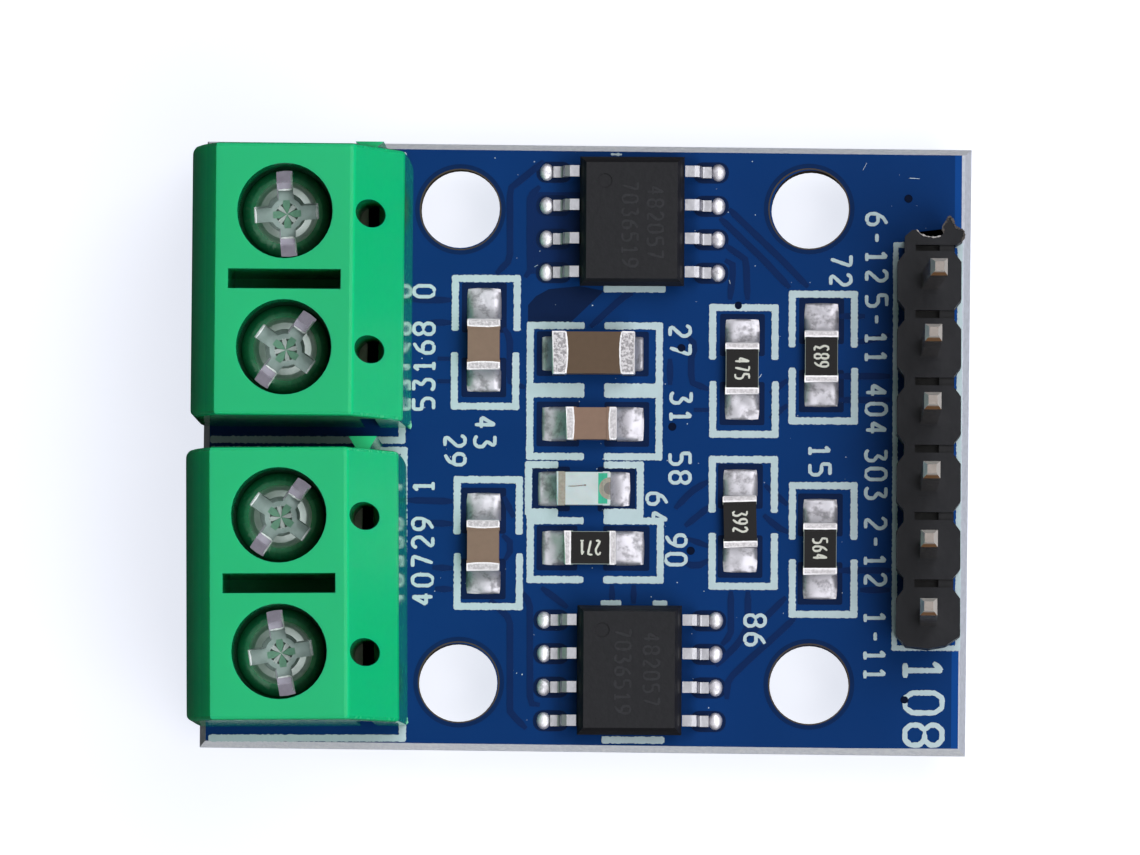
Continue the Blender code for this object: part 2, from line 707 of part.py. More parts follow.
def recess_tools():
    """Tools for a screw's recess: the long slot, two cross arms, a round pit and a faceted star."""
    top = SCREW_HEAD_HEIGHT
    above = top + CUT_MARGIN
    half_slot = SCREW_SLOT_WIDTH / 2
    slot = bmesh.new()
    add_box(
        slot, (-half_slot, -SCREW_HEAD_DIAMETER, top - SCREW_SLOT_DEPTH),
        (half_slot, SCREW_HEAD_DIAMETER, above),
    )
    tools = [slot]
    arms = (
        (CROSS_ARM_ACROSS_SLOT, CROSS_ARM_WIDTH),
        (CROSS_ARM_WIDTH, CROSS_ARM_ALONG_SLOT),
    )
    for long_x, long_y in arms:
        tools.append(run_of_sections([
            (0.0, 0.0, top - CROSS_DEPTH, long_x - CROSS_TAPER, long_y - CROSS_TAPER),
            (0.0, 0.0, above, long_x, long_y),
        ]))
    pit = bmesh.new()
    add_cylinder(
        pit, 0.0, 0.0, top - PIT_DEPTH, above, PIT_FLOOR_DIAMETER, COARSE_SEGMENTS,
        top_diameter=PIT_TOP_DIAMETER,
    )
    star = bmesh.new()
    add_cylinder(
        star, 0.0, 0.0, top - STAR_DEPTH, top - PIT_DEPTH + CROSS_TAPER, CROSS_TAPER, STAR_SIDES,
        top_diameter=STAR_DIAMETER,
    )
    bmesh.ops.rotate(star, verts=star.verts[:], matrix=Matrix.Rotation(math.pi / STAR_SIDES, 3, "Z"))
    return tools + [pit, star]


def build_screw_mesh(cutters, material):
    """Clamp screw with a long driver slot and a deeper cross recess."""
    blank = mesh_from(turned(screw_profile(), FINE_SEGMENTS, "clamp_screw"), "clamp_screw", material)
    steps = [("DIFFERENCE", tool) for tool in recess_tools()]
    return carve(blank, steps, cutters, "clamp_screw")


def build_terminals(parts, cutters, materials):
    """Both terminal blocks, each with two screws, two cages and two contacts."""
    cage = build_cage_mesh(cutters, materials["cage_steel"])
    contact = build_contact_mesh(materials["tinned_brass"])
    screw = build_screw_mesh(cutters, materials["screw_steel"])
    for block in BLOCK_PLACES:
        frame = bpy.data.objects.new(f"frame_{block}_block", None)
        parts.objects.link(frame)
        frame.matrix_world = block_matrix(block)
        housing = build_block_mesh(block, cutters, materials["green_moulding"])
        place(f"terminal_block_{block}", housing, parts, parent=frame)
        for number, offset in enumerate(pole_offsets(), start=1):
            label = f"{block}_{number}"
            place(f"terminal_contact_{label}", contact, parts, (0.0, offset, 0.0), parent=frame)
            place(f"clamp_cage_{label}", cage, parts, (0.0, offset, CAGE_REST_HEIGHT), parent=frame)
            turn = SCREW_TURNS[label]
            place(f"clamp_screw_{label}", screw, parts, (0.0, offset, SCREW_SEAT), turn, frame)


def build_chip_mesh(cutters, material):
    """Moulded body of an eight-lead driver chip with its pin-one dimple."""
    width, length = CHIP_BODY_WIDTH, CHIP_BODY_LENGTH
    middle = LEAD_EXIT_HEIGHT
    slim = 2 * CHIP_DRAFT
    bm = run_of_sections([
        (0.0, 0.0, CHIP_BODY_BOTTOM, width - slim, length - slim),
        (0.0, 0.0, middle, width, length),
        (0.0, 0.0, CHIP_BODY_TOP - CHIP_BEVEL, width - slim, length - slim),
        (0.0, 0.0, CHIP_BODY_TOP, width - slim - CHIP_BEVEL, length - slim - CHIP_BEVEL),
    ])
    blank = mesh_from(bm, "chip_body", material)
    dimple = bmesh.new()
    x = CHIP_DIMPLE_INSET - width / 2
    y = length / 2 - CHIP_DIMPLE_INSET
    floor = CHIP_BODY_TOP - CHIP_DIMPLE_DEPTH
    add_cylinder(dimple, x, y, floor, CHIP_BODY_TOP + CUT_MARGIN, CHIP_DIMPLE_DIAMETER, COARSE_SEGMENTS)
    return carve(blank, [("DIFFERENCE", dimple)], cutters, "chip_body")


def build_lead_mesh(material):
    """Gull-wing lead that leaves the chip's side, steps down and stands on its pad."""
    start = CHIP_BODY_WIDTH / 2 + SEAT_GAP
    tip = LEAD_SPAN / 2
    foot = LEAD_THICKNESS / 2
    path = rounded([
        (start, LEAD_EXIT_HEIGHT),
        (start + LEAD_SHOULDER, LEAD_EXIT_HEIGHT),
        (tip - LEAD_FOOT, foot),
        (tip, foot),
    ], LEAD_BEND_RADIUS, steps=2, closed=False)
    bm = outline_solid([bent_strip(path, LEAD_THICKNESS)], LEAD_WIDTH, standing_in_xz())
    return mesh_from(bm, "chip_lead", material)


def build_chips(parts, cutters, materials):
    """Both driver chips, one at each end of the board, with four leads a side."""
    body = build_chip_mesh(cutters, materials["chip_moulding"])
    lead = build_lead_mesh(materials["tinned_lead"])
    seat = BOARD_TOP + SEAT_GAP
    for chip, shares in CHIP_PLACES.items():
        x, y = in_field(*shares)
        place(f"driver_chip_{chip}", body, parts, (x, y, seat))
        for index in range(LEADS_PER_SIDE):
            lead_y = y + ((LEADS_PER_SIDE - 1) / 2 - index) * LEAD_PITCH
            for side, turn in (("left", 180.0), ("right", 0.0)):
                place(f"chip_lead_{chip}_{side}_{index + 1}", lead, parts, (x, lead_y, seat), turn)


def build_two_ended_mesh(sizes, name, material):
    """Rectangular chip with a slightly proud metal cap round each end."""
    length, width, height, cap = sizes
    rise = 2 * END_CAP_RISE
    half = length / 2
    sections = [
        (0.0, 0.0, -half, height, width),
        (0.0, 0.0, cap - half, height, width),
        (0.0, 0.0, cap - half, height - rise, width - rise),
        (0.0, 0.0, half - cap, height - rise, width - rise),
        (0.0, 0.0, half - cap, height, width),
        (0.0, 0.0, half, height, width),
    ]
    bm = run_of_sections(sections)
    lay_down = Matrix.Rotation(math.radians(90.0), 4, "Y")
    bm.transform(Matrix.Translation((0.0, 0.0, height / 2)) @ lay_down)
    ends = [
        edge for edge in bm.edges
        if all(abs(abs(vert.co.x) - half) < WELD_DISTANCE for vert in edge.verts)
    ]
    bmesh.ops.bevel(
        bm, geom=ends, offset=CHIP_EDGE_RADIUS, offset_type="OFFSET", segments=2, profile=0.5,
        affect="EDGES",
    )
    return mesh_from(bm, name, material)


def build_two_ended(parts, materials):
    """Capacitors, resistors and the indicator LED."""
    seat = BOARD_TOP + CHIP_STAND_OFF
    leds = {"indicator_led": (LED_0805, *LED_PLACE)}
    groups = ((CAPACITORS, "capacitor_ceramic"), (RESISTORS, "resistor_black"), (leds, "led_lens"))
    for group, slot in groups:
        for name, (sizes, share_x, share_y, turn) in group.items():
            mesh = build_two_ended_mesh(sizes, name, materials[slot])
            place(name, mesh, parts, (*in_field(share_x, share_y), seat), turn)


def header_outline():
    """Plan of the header strip: waisted cells, a snapped upper end and a plain lower end."""
    count = len(PIN_LEANS)
    wide, neck = HEADER_CELL_WIDTH / 2, HEADER_NECK_WIDTH / 2
    flat = HEADER_CELL_FLAT / 2
    top = count * PIN_PITCH / 2
    right = []
    for index in range(count):
        middle = top - (index + 0.5) * PIN_PITCH
        right += [
            (neck, middle + flat + HEADER_CELL_CHAMFER),
            (wide, middle + flat),
            (wide, middle - flat),
            (neck, middle - flat - HEADER_CELL_CHAMFER),
        ]
    left = [(-x, y) for x, y in reversed(right)]
    bottom = -top + HEADER_STUB_LENGTH
    end = top + HEADER_SNAPPED_LENGTH
    horn = end + HEADER_HORN_LENGTH
    lower_end = [(neck * 0.72, bottom + 0.00012), (0.0, bottom), (-neck * 0.9, bottom + 0.00009)]
    upper_end = [
        (-neck, end - 0.00010), (-neck * 0.78, end + 0.00008), (-neck * 0.45, end - 0.00020),
        (neck * 0.05, end - 0.00032), (neck * 0.50, end - 0.00008), (neck * 0.78, horn),
        (neck * 1.08, horn - 0.00030), (neck * 1.34, end - 0.00022), (neck * 1.02, top + 0.00010),
    ]
    return right[:-1] + lower_end + left[1:] + upper_end


def build_header(parts, cutters, materials):
    """Pin header: a notched black strip with six square pins pressed through it."""
    middle = HEADER_HEIGHT / 2
    body = outline_solid([header_outline()], HEADER_HEIGHT, Matrix.Translation((0.0, 0.0, middle)))
    blank = mesh_from(body, "pin_header", materials["header_moulding"])
    count = len(PIN_LEANS)
    header_x, header_y = header_centre()
    above = HEADER_HEIGHT + CUT_MARGIN
    sockets = bmesh.new()
    hole = PIN_WIDTH / 2 + INSERT_GAP
    for _, y in pin_places():
        along = y - header_y
        add_box(sockets, (-hole, along - hole, -CUT_MARGIN), (hole, along + hole, above))
    steps = [("DIFFERENCE", sockets)]
    floor = HEADER_HEIGHT - HEADER_NOTCH_DEPTH
    half_floor = HEADER_NOTCH_FLOOR / 2
    ramp = half_floor + HEADER_NOTCH_RAMP
    notch = [
        (-half_floor, above), (-half_floor, floor), (half_floor, floor),
        (ramp, HEADER_HEIGHT), (ramp, above),
    ]
    for index in range(count):
        y = (count / 2 - index) * PIN_PITCH
        steps.append(("DIFFERENCE", outline_solid([notch], HEADER_NOTCH_WIDTH, standing_in_xz(y))))
    mesh = carve(blank, steps, cutters, "pin_header")
    seat = BOARD_TOP + SEAT_GAP
    place("pin_header", mesh, parts, (header_x, header_y, seat))
    header_top = seat + HEADER_HEIGHT
    tip = BOARD_TOP + PIN_RISE
    share = (PIN_RISE - PIN_TIP_LENGTH - HEADER_HEIGHT) / (PIN_RISE - HEADER_HEIGHT)
    for number, ((x, y), lean) in enumerate(zip(pin_places(), PIN_LEANS), start=1):
        lean_x, lean_y = lean
        bm = run_of_sections([
            (0.0, 0.0, -LEG_STICK_OUT, PIN_TIP_WIDTH, PIN_TIP_WIDTH),
            (0.0, 0.0, PIN_TIP_LENGTH - LEG_STICK_OUT, PIN_WIDTH, PIN_WIDTH),
            (0.0, 0.0, header_top, PIN_WIDTH, PIN_WIDTH),
            (lean_x * share, lean_y * share, tip - PIN_TIP_LENGTH, PIN_WIDTH, PIN_WIDTH),
            (lean_x, lean_y, tip, PIN_TIP_WIDTH, PIN_TIP_WIDTH),
        ])
        name = f"header_pin_{number}"
        place(name, mesh_from(bm, name, materials["pin_plating"]), parts, (x, y, 0.0))


def make_materials():
    """Finishes of the pieces, with colours as linear values."""
    return {
        "blue_solder_mask": make_material("blue_solder_mask", (0.006, 0.045, 0.185), 0.35),
        "green_moulding": make_material("green_moulding", (0.018, 0.545, 0.190), 0.42),
        "screw_steel": make_material("screw_steel", (0.66, 0.66, 0.68), 0.28, 1.0),
        "cage_steel": make_material("cage_steel", (0.60, 0.60, 0.58), 0.35, 1.0),
        "tinned_brass": make_material("tinned_brass", (0.68, 0.66, 0.60), 0.35, 1.0),
        "chip_moulding": make_material("chip_moulding", (0.020, 0.021, 0.024), 0.60),
        "tinned_lead": make_material("tinned_lead", (0.72, 0.72, 0.74), 0.30, 1.0),
        "capacitor_ceramic": make_material("capacitor_ceramic", (0.26, 0.17, 0.11), 0.55),
        "resistor_black": make_material("resistor_black", (0.018, 0.016, 0.016), 0.45),
        "led_lens": make_material("led_lens", (0.78, 0.80, 0.74), 0.30),
        "header_moulding": make_material("header_moulding", (0.014, 0.014, 0.018), 0.50),
        "pin_plating": make_material("pin_plating", (0.74, 0.70, 0.62), 0.30, 1.0),
    }


def main():
    """Build the whole module."""
    clear_scene()
    parts = make_collection("motor_driver_module")
    cutters = make_collection("cutters")
    materials = make_materials()
    build_board(parts, cutters, materials["blue_solder_mask"])
    build_terminals(parts, cutters, materials)
    build_chips(parts, cutters, materials)
    build_two_ended(parts, materials)
    build_header(parts, cutters, materials)


main()
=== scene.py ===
import math

import bmesh
import bpy
from mathutils import Matrix, Vector, noise


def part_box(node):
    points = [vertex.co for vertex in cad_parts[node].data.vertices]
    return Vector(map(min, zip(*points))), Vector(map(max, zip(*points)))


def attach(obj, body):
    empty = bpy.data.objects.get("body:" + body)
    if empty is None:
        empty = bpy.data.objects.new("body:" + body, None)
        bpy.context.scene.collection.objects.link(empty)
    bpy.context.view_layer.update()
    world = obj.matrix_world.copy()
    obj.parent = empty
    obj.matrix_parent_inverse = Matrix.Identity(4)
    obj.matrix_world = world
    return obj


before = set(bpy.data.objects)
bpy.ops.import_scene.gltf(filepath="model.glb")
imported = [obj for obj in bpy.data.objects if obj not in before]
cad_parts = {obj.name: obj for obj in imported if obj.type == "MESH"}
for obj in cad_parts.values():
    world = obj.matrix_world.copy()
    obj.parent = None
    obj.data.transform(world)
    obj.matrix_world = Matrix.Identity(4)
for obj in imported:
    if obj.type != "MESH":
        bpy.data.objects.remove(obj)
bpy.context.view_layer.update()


# Circuit board
# A glass-fibre board 1.6 mm thick under blue solder mask, snapped from its panel along scores,
# so its edges show pale broken fibre. The copper under the mask reads as a lighter blue.
MM = 0.001
BOARD_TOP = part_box("circuit_board")[1].z / MM

# The mask: its colour, gloss and clouds, and a lighter strip along the right edge
MASK_BLUE = (9, 53, 112)
MASK_SHEEN = 0.05
MASK_ROUGHNESS = 0.28
MASK_CLOUDS = 260.0
EDGE_ZONE_WIDTH = 0.26
EDGE_ZONE_GAIN = 1.75

# How far the mask reaches to the right, where its end slants, and to both sides
MASK_LIMIT_RIGHT = 14.18
MASK_LIMIT_SLANT = 0.0031
MASK_LIMIT_SIDE = 11.33

# Broken fibre: its colours, grain and relief, and how far the near score slopes. The fibre on the
# outer side edges is lighter, as painted light.
FIBRE_GREY = (214, 219, 233)
FIBRE_PAINTED_LIGHT = (250, 252, 255)
FIBRE_SCALE = 5200.0
FIBRE_DEPTH = 0.04
FIBRE_ROUGHNESS = 0.5
SCORE_SLOPE = 0.35

# The walls of the holes are painted dark, as shade. The holes all lie within these limits
HOLE_WALL_PAINTED_SHADE = (58, 50, 44)
DRILLED_SHIFT = 0.2
DRILLED_REACH = 13.6
DRILLED_MARGIN = 0.3

# From these shares of its direction on, a face is level or one of the board's edges
LEVEL_FACE = 0.9
EDGE_FACE = 0.6


def ink(red, green, blue, gain=1.0):
    """A colour as it shows in the photograph, from 0 to 255, as the shader needs it."""
    shares = [value / 255 for value in (red, green, blue)]
    linear = [share / 12.92 if share < 0.04 else ((share + 0.055) / 1.055) ** 2.4 for share in shares]
    return (*[min(1.0, value * gain) for value in linear], 1.0)


def put(tree, socket, value):
    """Link a socket to another, or set its value."""
    if isinstance(value, bpy.types.NodeSocket):
        tree.links.new(value, socket)
    else:
        socket.default_value = value


def add_node(tree, kind, inputs, **settings):
    """A node with its settings, and its inputs set or linked by name or number."""
    node = tree.nodes.new(kind)
    for key, value in settings.items():
        setattr(node, key, value)
    for key, value in inputs.items():
        put(tree, node.inputs[key], value)
    return node


def calc(tree, operation, first, second=0.0):
    """One step of arithmetic."""
    return add_node(tree, "ShaderNodeMath", {0: first, 1: second}, operation=operation).outputs[0]


def plus(tree, first, second):
    """Sum of two values."""
    return calc(tree, "ADD", first, second)


def minus(tree, first, second):
    """Difference of two values."""
    return calc(tree, "SUBTRACT", first, second)


def times(tree, first, second):
    """Product of two values."""
    return calc(tree, "MULTIPLY", first, second)


def is_above(tree, value, limit):
    """1 where a value is above a limit, and 0 elsewhere."""
    return calc(tree, "GREATER_THAN", value, limit)


def is_below(tree, value, limit):
    """1 where a value is below a limit, and 0 elsewhere."""
    return calc(tree, "LESS_THAN", value, limit)


def split(tree, vector):
    """X, Y and Z of a place or a direction."""
    return add_node(tree, "ShaderNodeSeparateXYZ", {0: vector}).outputs


def direction(tree, x, y, z):
    """The direction that has these parts."""
    joined = add_node(tree, "ShaderNodeCombineXYZ", {0: x, 1: y, 2: z}).outputs[0]
    return add_node(tree, "ShaderNodeVectorMath", {0: joined}, operation="NORMALIZE").outputs[0]


def mix(tree, share, first, second):
    """A colour between two others."""
    node = add_node(tree, "ShaderNodeMix", {0: share, 6: first, 7: second}, data_type="RGBA")
    return node.outputs[2]


def varied(tree, share, colour, low, high):
    """One colour, between two gains of it."""
    return mix(tree, share, ink(*colour, low), ink(*colour, high))


def two_tone(tree, share, colours):
    """A colour between the two of a pair."""
    first, second = colours
    return mix(tree, share, ink(*first), ink(*second))


def grain(tree, place, scale, detail=3.0):
    """Fine irregular variation, from 0 to 1."""
    inputs = {"Vector": place, "Scale": scale, "Detail": detail}
    return add_node(tree, "ShaderNodeTexNoise", inputs).outputs[0]


def ramped(tree, value, low, high):
    """0 below low, 1 above high and smooth between them."""
    inputs = {"Value": value, "From Min": low, "From Max": high}
    node = add_node(tree, "ShaderNodeMapRange", inputs, interpolation_type="SMOOTHSTEP")
    return node.outputs["Result"]


def bump(tree, height, depth, facing=None):
    """Relief of that depth, in metres, over the surface or over a direction given for it."""
    inputs = {"Height": height, "Distance": depth}
    if facing is not None:
        inputs["Normal"] = facing
    return add_node(tree, "ShaderNodeBump", inputs).outputs["Normal"]


def new_finish(name, **settings):
    """A material, its node tree, its shader and the object's own coordinates."""
    material = bpy.data.materials.new(name)
    material.use_nodes = True
    tree = material.node_tree
    shader = tree.nodes["Principled BSDF"]
    for key, value in settings.items():
        put(tree, shader.inputs[key.replace("_", " ")], value)
    place = add_node(tree, "ShaderNodeTexCoord", {}).outputs["Object"]
    return material, tree, shader, place


def facing_parts(tree):
    """X, Y and Z of the direction that a surface faces."""
    return split(tree, add_node(tree, "ShaderNodeNewGeometry", {}).outputs["Normal"])


def board_finish():
    """Blue mask on both faces, pale bare fibre on the edges with painted light on their outer sides, and
    painted shade on the walls of the holes.
    """
    material, tree, shader, place = new_finish("board_mask_and_fibre", Specular_IOR_Level=MASK_SHEEN)
    axes = split(tree, place)
    parts = facing_parts(tree)
    slant = times(tree, axes[1], MASK_LIMIT_SLANT)
    from_right = minus(tree, plus(tree, slant, MASK_LIMIT_RIGHT * MM), axes[0])
    from_side = minus(tree, MASK_LIMIT_SIDE * MM, calc(tree, "ABSOLUTE", axes[1]))
    inside = is_above(tree, calc(tree, "MINIMUM", from_right, from_side), 0.0)
    level = is_above(tree, calc(tree, "ABSOLUTE", parts[2]), LEVEL_FACE)
    covered = times(tree, level, inside)
    copper = varied(tree, grain(tree, place, MASK_CLOUDS), MASK_BLUE, 0.88, 1.12)
    edge_zone = is_below(tree, from_right, EDGE_ZONE_WIDTH * MM)
    masked = mix(tree, edge_zone, copper, ink(*MASK_BLUE, EDGE_ZONE_GAIN))
    ends = calc(tree, "ABSOLUTE", plus(tree, axes[0], DRILLED_SHIFT * MM))
    drilled = is_below(tree, ends, DRILLED_REACH * MM)
    drilled = times(tree, drilled, is_above(tree, from_side, DRILLED_MARGIN * MM))
    fibres = grain(tree, place, FIBRE_SCALE, 4.0)
    # Painted shade: the walls of the holes are dark
    fibre = mix(tree, drilled, varied(tree, fibres, FIBRE_GREY, 0.72, 1.0), ink(*HOLE_WALL_PAINTED_SHADE))
    # Painted light: fibre on faces that look sideways or to the left is lighter
    sideways = is_above(tree, calc(tree, "ABSOLUTE", parts[1]), EDGE_FACE)
    sideways = calc(tree, "MAXIMUM", sideways, is_below(tree, parts[0], -EDGE_FACE))
    outer = times(tree, sideways, minus(tree, 1.0, drilled))
    fibre = mix(tree, outer, fibre, two_tone(tree, fibres, (FIBRE_GREY, FIBRE_PAINTED_LIGHT)))
    put(tree, shader.inputs["Base Color"], mix(tree, covered, fibre, masked))
    wear = times(tree, grain(tree, place, 900.0), 0.12)
    bare = times(tree, minus(tree, 1.0, covered), FIBRE_ROUGHNESS)
    put(tree, shader.inputs["Roughness"], plus(tree, plus(tree, wear, MASK_ROUGHNESS), bare))
    relief = times(tree, fibres, minus(tree, 1.1, covered))
    near_side = is_below(tree, parts[1], -EDGE_FACE)
    lifted = plus(tree, parts[2], times(tree, near_side, SCORE_SLOPE))
    facing = direction(tree, parts[0], parts[1], lifted)
    put(tree, shader.inputs["Normal"], bump(tree, relief, FIBRE_DEPTH * MM, facing))
    return material


def dress(material, *names):
    """Give CAD nodes their finish."""
    for name in names:
        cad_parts[name].material_slots[0].material = material


dress(board_finish(), "circuit_board")


# Copper layout under the mask
# Narrow gaps part the copper into tracks, and clear fields keep it off the pads. The mask lies
# over them, so they only read as darker lines and fields in the blue.
MASK_GAP = (13, 40, 88)
MASK_BARE = (11, 31, 68)
BARE_ROUGHNESS = 0.34
GAP_WIDTH = 0.25
GAP_RISE = 0.018
FIELD_RISE = 0.003
SINK = 0.002
TRACK_GAPS = (
    ((-1.64, 10.87), (-2.92, 9.82), (-2.90, 7.12), (-3.42, 6.59)),
    ((-1.78, 9.92), (-2.16, 9.54), (-2.14, 6.69), (-2.33, 6.46)),
    ((0.16, 4.59), (1.37, 5.71), (1.75, 5.88)),
    ((5.39, 9.09), (7.41, 7.16), (8.40, 6.14)),
    ((5.05, 8.75), (6.72, 7.16), (7.71, 6.10)),
    ((5.25, 7.15), (5.58, 6.96), (5.44, 5.64)),
    ((5.24, 7.72), (6.05, 7.16), (6.11, 5.64)),
    ((-6.59, 5.58), (-5.12, 5.59)),
    ((-6.02, 4.73), (-5.12, 4.73)),
    ((-5.63, 3.36), (-5.11, 3.36)),
    ((-5.63, 2.50), (-5.11, 2.50)),
    ((-3.13, 4.55), (-2.89, 4.18), (-2.88, 2.47), (-2.31, 2.28)),
    ((3.18, 3.40), (3.19, 2.40)),
    ((3.84, 4.25), (4.17, 3.92), (3.99, 3.49), (3.99, 2.50), (4.65, 2.24)),
    ((4.09, 1.46), (4.66, 1.46)),
    ((-6.74, -2.01), (-5.03, -2.05)),
    ((-6.45, -2.86), (-5.03, -2.90)),
    ((-5.78, -4.56), (-5.02, -4.58)),
    ((-5.68, -5.37), (-5.01, -5.38)),
    ((-3.09, -1.85), (-2.71, -2.65)),
    ((-3.13, -3.32), (-2.85, -3.51), (-2.84, -4.07), (-3.03, -4.26)),
    ((-3.59, -5.78), (-2.83, -6.49), (-2.81, -10.04), (-2.19, -10.65)),
    ((-2.36, -5.49), (-2.08, -5.87), (-2.05, -9.71), (-1.68, -9.75)),
    ((-1.65, -5.30), (-0.65, -6.05)),
    ((1.03, -5.19), (1.03, -5.90)),
    ((1.85, -5.19), (1.85, -5.90)),
    ((3.40, -2.29), (4.01, -1.63), (4.67, -1.24)),
    ((3.78, -2.95), (4.72, -2.19)),
    ((3.88, -3.43), (4.30, -3.57), (4.68, -3.71)),
    ((3.69, -4.28), (4.21, -4.51), (4.69, -4.23)),
    ((5.53, -5.40), (5.54, -7.06), (5.20, -7.44)),
    ((6.18, -5.40), (6.18, -6.80), (5.81, -7.40), (4.98, -8.24)),
    ((7.62, -5.62), (6.90, -6.34), (6.45, -6.87), (6.00, -7.25)),
    ((7.96, -6.41), (6.98, -7.32), (6.34, -7.89), (5.62, -8.58), (5.40, -8.92), (5.40, -9.49)),
    ((9.57, 5.04), (10.56, 5.04)),
    ((10.28, 4.04), (11.51, 4.33)),
    ((9.58, 2.76), (11.52, 2.77)),
    ((9.58, 1.86), (11.52, 1.87)),
    ((7.64, 2.61), (6.98, 2.09)),
    ((7.64, 1.66), (6.98, 1.14)),
    ((6.80, -1.38), (7.66, -2.13)),
    ((6.76, -2.51), (7.28, -2.98), (7.71, -3.17)),
    ((9.61, -4.60), (11.55, -4.59)),
    ((10.42, -5.34), (11.55, -5.33)),
)

# How far each two-ended part's pads reach past it, at its low end and at its high end
PAD_REACH = {
    "capacitor_left_upper": (0.80, 1.19),
    "capacitor_left_lower": (0.84, 1.04),
    "capacitor_large": (0.40, 0.30),
    "capacitor_middle": (0.92, 1.00),
    "resistor_led": (0.85, 1.05),
    "resistor_upper_1": (0.94, 0.90),
    "resistor_upper_2": (0.91, 1.05),
    "resistor_lower_1": (0.91, 0.99),
    "resistor_lower_2": (0.91, 0.92),
    "indicator_led": (0.71, 0.73),
}
PAD_WIDTH = 1.30
PAD_UNDER = 0.30
PAD_CLEARANCE = 0.20

# The same for the chips' leads, whose pads are narrower
LEAD_PAD_REACH = 0.56
LEAD_PAD_WIDTH = 0.62
LEAD_PAD_UNDER = 0.62
LEAD_PAD_CLEARANCE = 0.09

# Fields without copper: one by the upper chip, one between two tracks, and one round each pad.
# Each lies a hair above the last, so that no two faces fall into one where they cross.
NO_COPPER = (
    (-2.21, 4.77), (-2.21, 5.41), (-1.91, 5.75), (-1.42, 6.02), (-0.24, 6.14), (0.67, 5.96), (-0.58, 4.77),
)
GAP_FIELD = (-2.20, 6.60, -0.20, 9.70)
FIELD_STEP = 0.0002
CLEARING_ROUNDING = 0.08
LEAD_CLEARING_ROUNDING = 0.36
ROUNDING_STEPS = 4


def node_box(name):
    """Lowest and highest x, y and z of a CAD node, in millimetres."""
    low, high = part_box(name)
    return low / MM, high / MM


def along_x(name):
    """Whether a two-ended part lies along X."""
    low, high = node_box(name)
    return high.x - low.x > high.y - low.y


def pads_of(name):
    """The two pads of a two-ended part: outer corners, and the side that faces the part."""
    low, high = node_box(name)
    reach_low, reach_high = PAD_REACH[name]
    middle = (low + high) / 2
    half = PAD_WIDTH / 2
    if along_x(name):
        first = (low.x - reach_low, middle.y - half, low.x + PAD_UNDER, middle.y + half, "+x")
        second = (high.x - PAD_UNDER, middle.y - half, high.x + reach_high, middle.y + half, "-x")
    else:
        first = (middle.x - half, low.y - reach_low, middle.x + half, low.y + PAD_UNDER, "+y")
        second = (middle.x - half, high.y - PAD_UNDER, middle.x + half, high.y + reach_high, "-y")
    return first, second


def lead_names(side):
    """Names of all chip leads on the left or the right."""
    return [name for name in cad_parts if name.startswith("chip_lead_") and f"_{side}_" in name]


def lead_pads():
    """The pad under each lead's foot, with the side that faces the chip."""
    pads = []
    for side in ("left", "right"):
        for name in lead_names(side):
            low, high = node_box(name)
            bottom = (low.y + high.y - LEAD_PAD_WIDTH) / 2
            top = bottom + LEAD_PAD_WIDTH
            if side == "left":
                pads.append((low.x - LEAD_PAD_REACH, bottom, low.x + LEAD_PAD_UNDER, top, "+x"))
            else:
                pads.append((high.x - LEAD_PAD_UNDER, bottom, high.x + LEAD_PAD_REACH, top, "-x"))
    return pads


def add_block(bm, low, high):
    """A plain block between two corners, in millimetres."""
    middle = (Vector(low) + Vector(high)) * MM / 2
    size = (Vector(high) - Vector(low)) * MM
    matrix = Matrix.Translation(middle) @ Matrix.Diagonal((*size, 1.0))
    bmesh.ops.create_cube(bm, size=1.0, matrix=matrix)


def add_slab(bm, corners, low, high):
    """A slab over an outline, in millimetres."""
    foot = [bm.verts.new(Vector((x, y, low)) * MM) for x, y in corners]
    top = [bm.verts.new(Vector((x, y, high)) * MM) for x, y in corners]
    bm.faces.new(foot[::-1])
    bm.faces.new(top)
    for index in range(len(corners)):
        after = (index + 1) % len(corners)
        bm.faces.new((foot[index], foot[after], top[after], top[index]))


def rounded_box(x_low, y_low, x_high, y_high, radius):
    """Outline of a box with rounded corners."""
    middles = (
        (x_high - radius, y_high - radius),
        (x_low + radius, y_high - radius),
        (x_low + radius, y_low + radius),
        (x_high - radius, y_low + radius),
    )
    outline = []
    for quarter, (x, y) in enumerate(middles):
        for step in range(ROUNDING_STEPS + 1):
            angle = math.pi / 2 * (quarter + step / ROUNDING_STEPS)
            outline.append((x + radius * math.cos(angle), y + radius * math.sin(angle)))
    return outline


def make_piece(name, bm, material, body="module", angle=35.0):
    """Close a mesh into a finished piece, which rides on a body if one is named."""
    bmesh.ops.recalc_face_normals(bm, faces=bm.faces[:])
    mesh = bpy.data.meshes.new(name)
    bm.to_mesh(mesh)
    bm.free()
    mesh.materials.append(material)
    mesh.shade_smooth()
    mesh.set_sharp_from_angle(angle=math.radians(angle))
    piece = bpy.data.objects.new(name, mesh)
    bpy.context.scene.collection.objects.link(piece)
    if body:
        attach(piece, body)
    return piece


def new_tree(name, sockets, result):
    """An empty Geometry Nodes tree with named inputs, and the outputs that give their values."""
    tree = bpy.data.node_groups.new(name, "GeometryNodeTree")
    for label, kind in sockets:
        tree.interface.new_socket(label, in_out="INPUT", socket_type=f"NodeSocket{kind}")
    tree.interface.new_socket(result, in_out="OUTPUT", socket_type="NodeSocketGeometry")
    return tree, tree.nodes.new("NodeGroupInput").outputs


def close_tree(tree, geometry, finish):
    """End a tree: make its instances real, give them their finish and hand them over."""
    real = add_node(tree, "GeometryNodeRealizeInstances", {0: geometry}).outputs[0]
    painted = add_node(tree, "GeometryNodeSetMaterial", {0: real, "Material": finish}).outputs[0]
    put(tree, tree.nodes.new("NodeGroupOutput").inputs[0], painted)


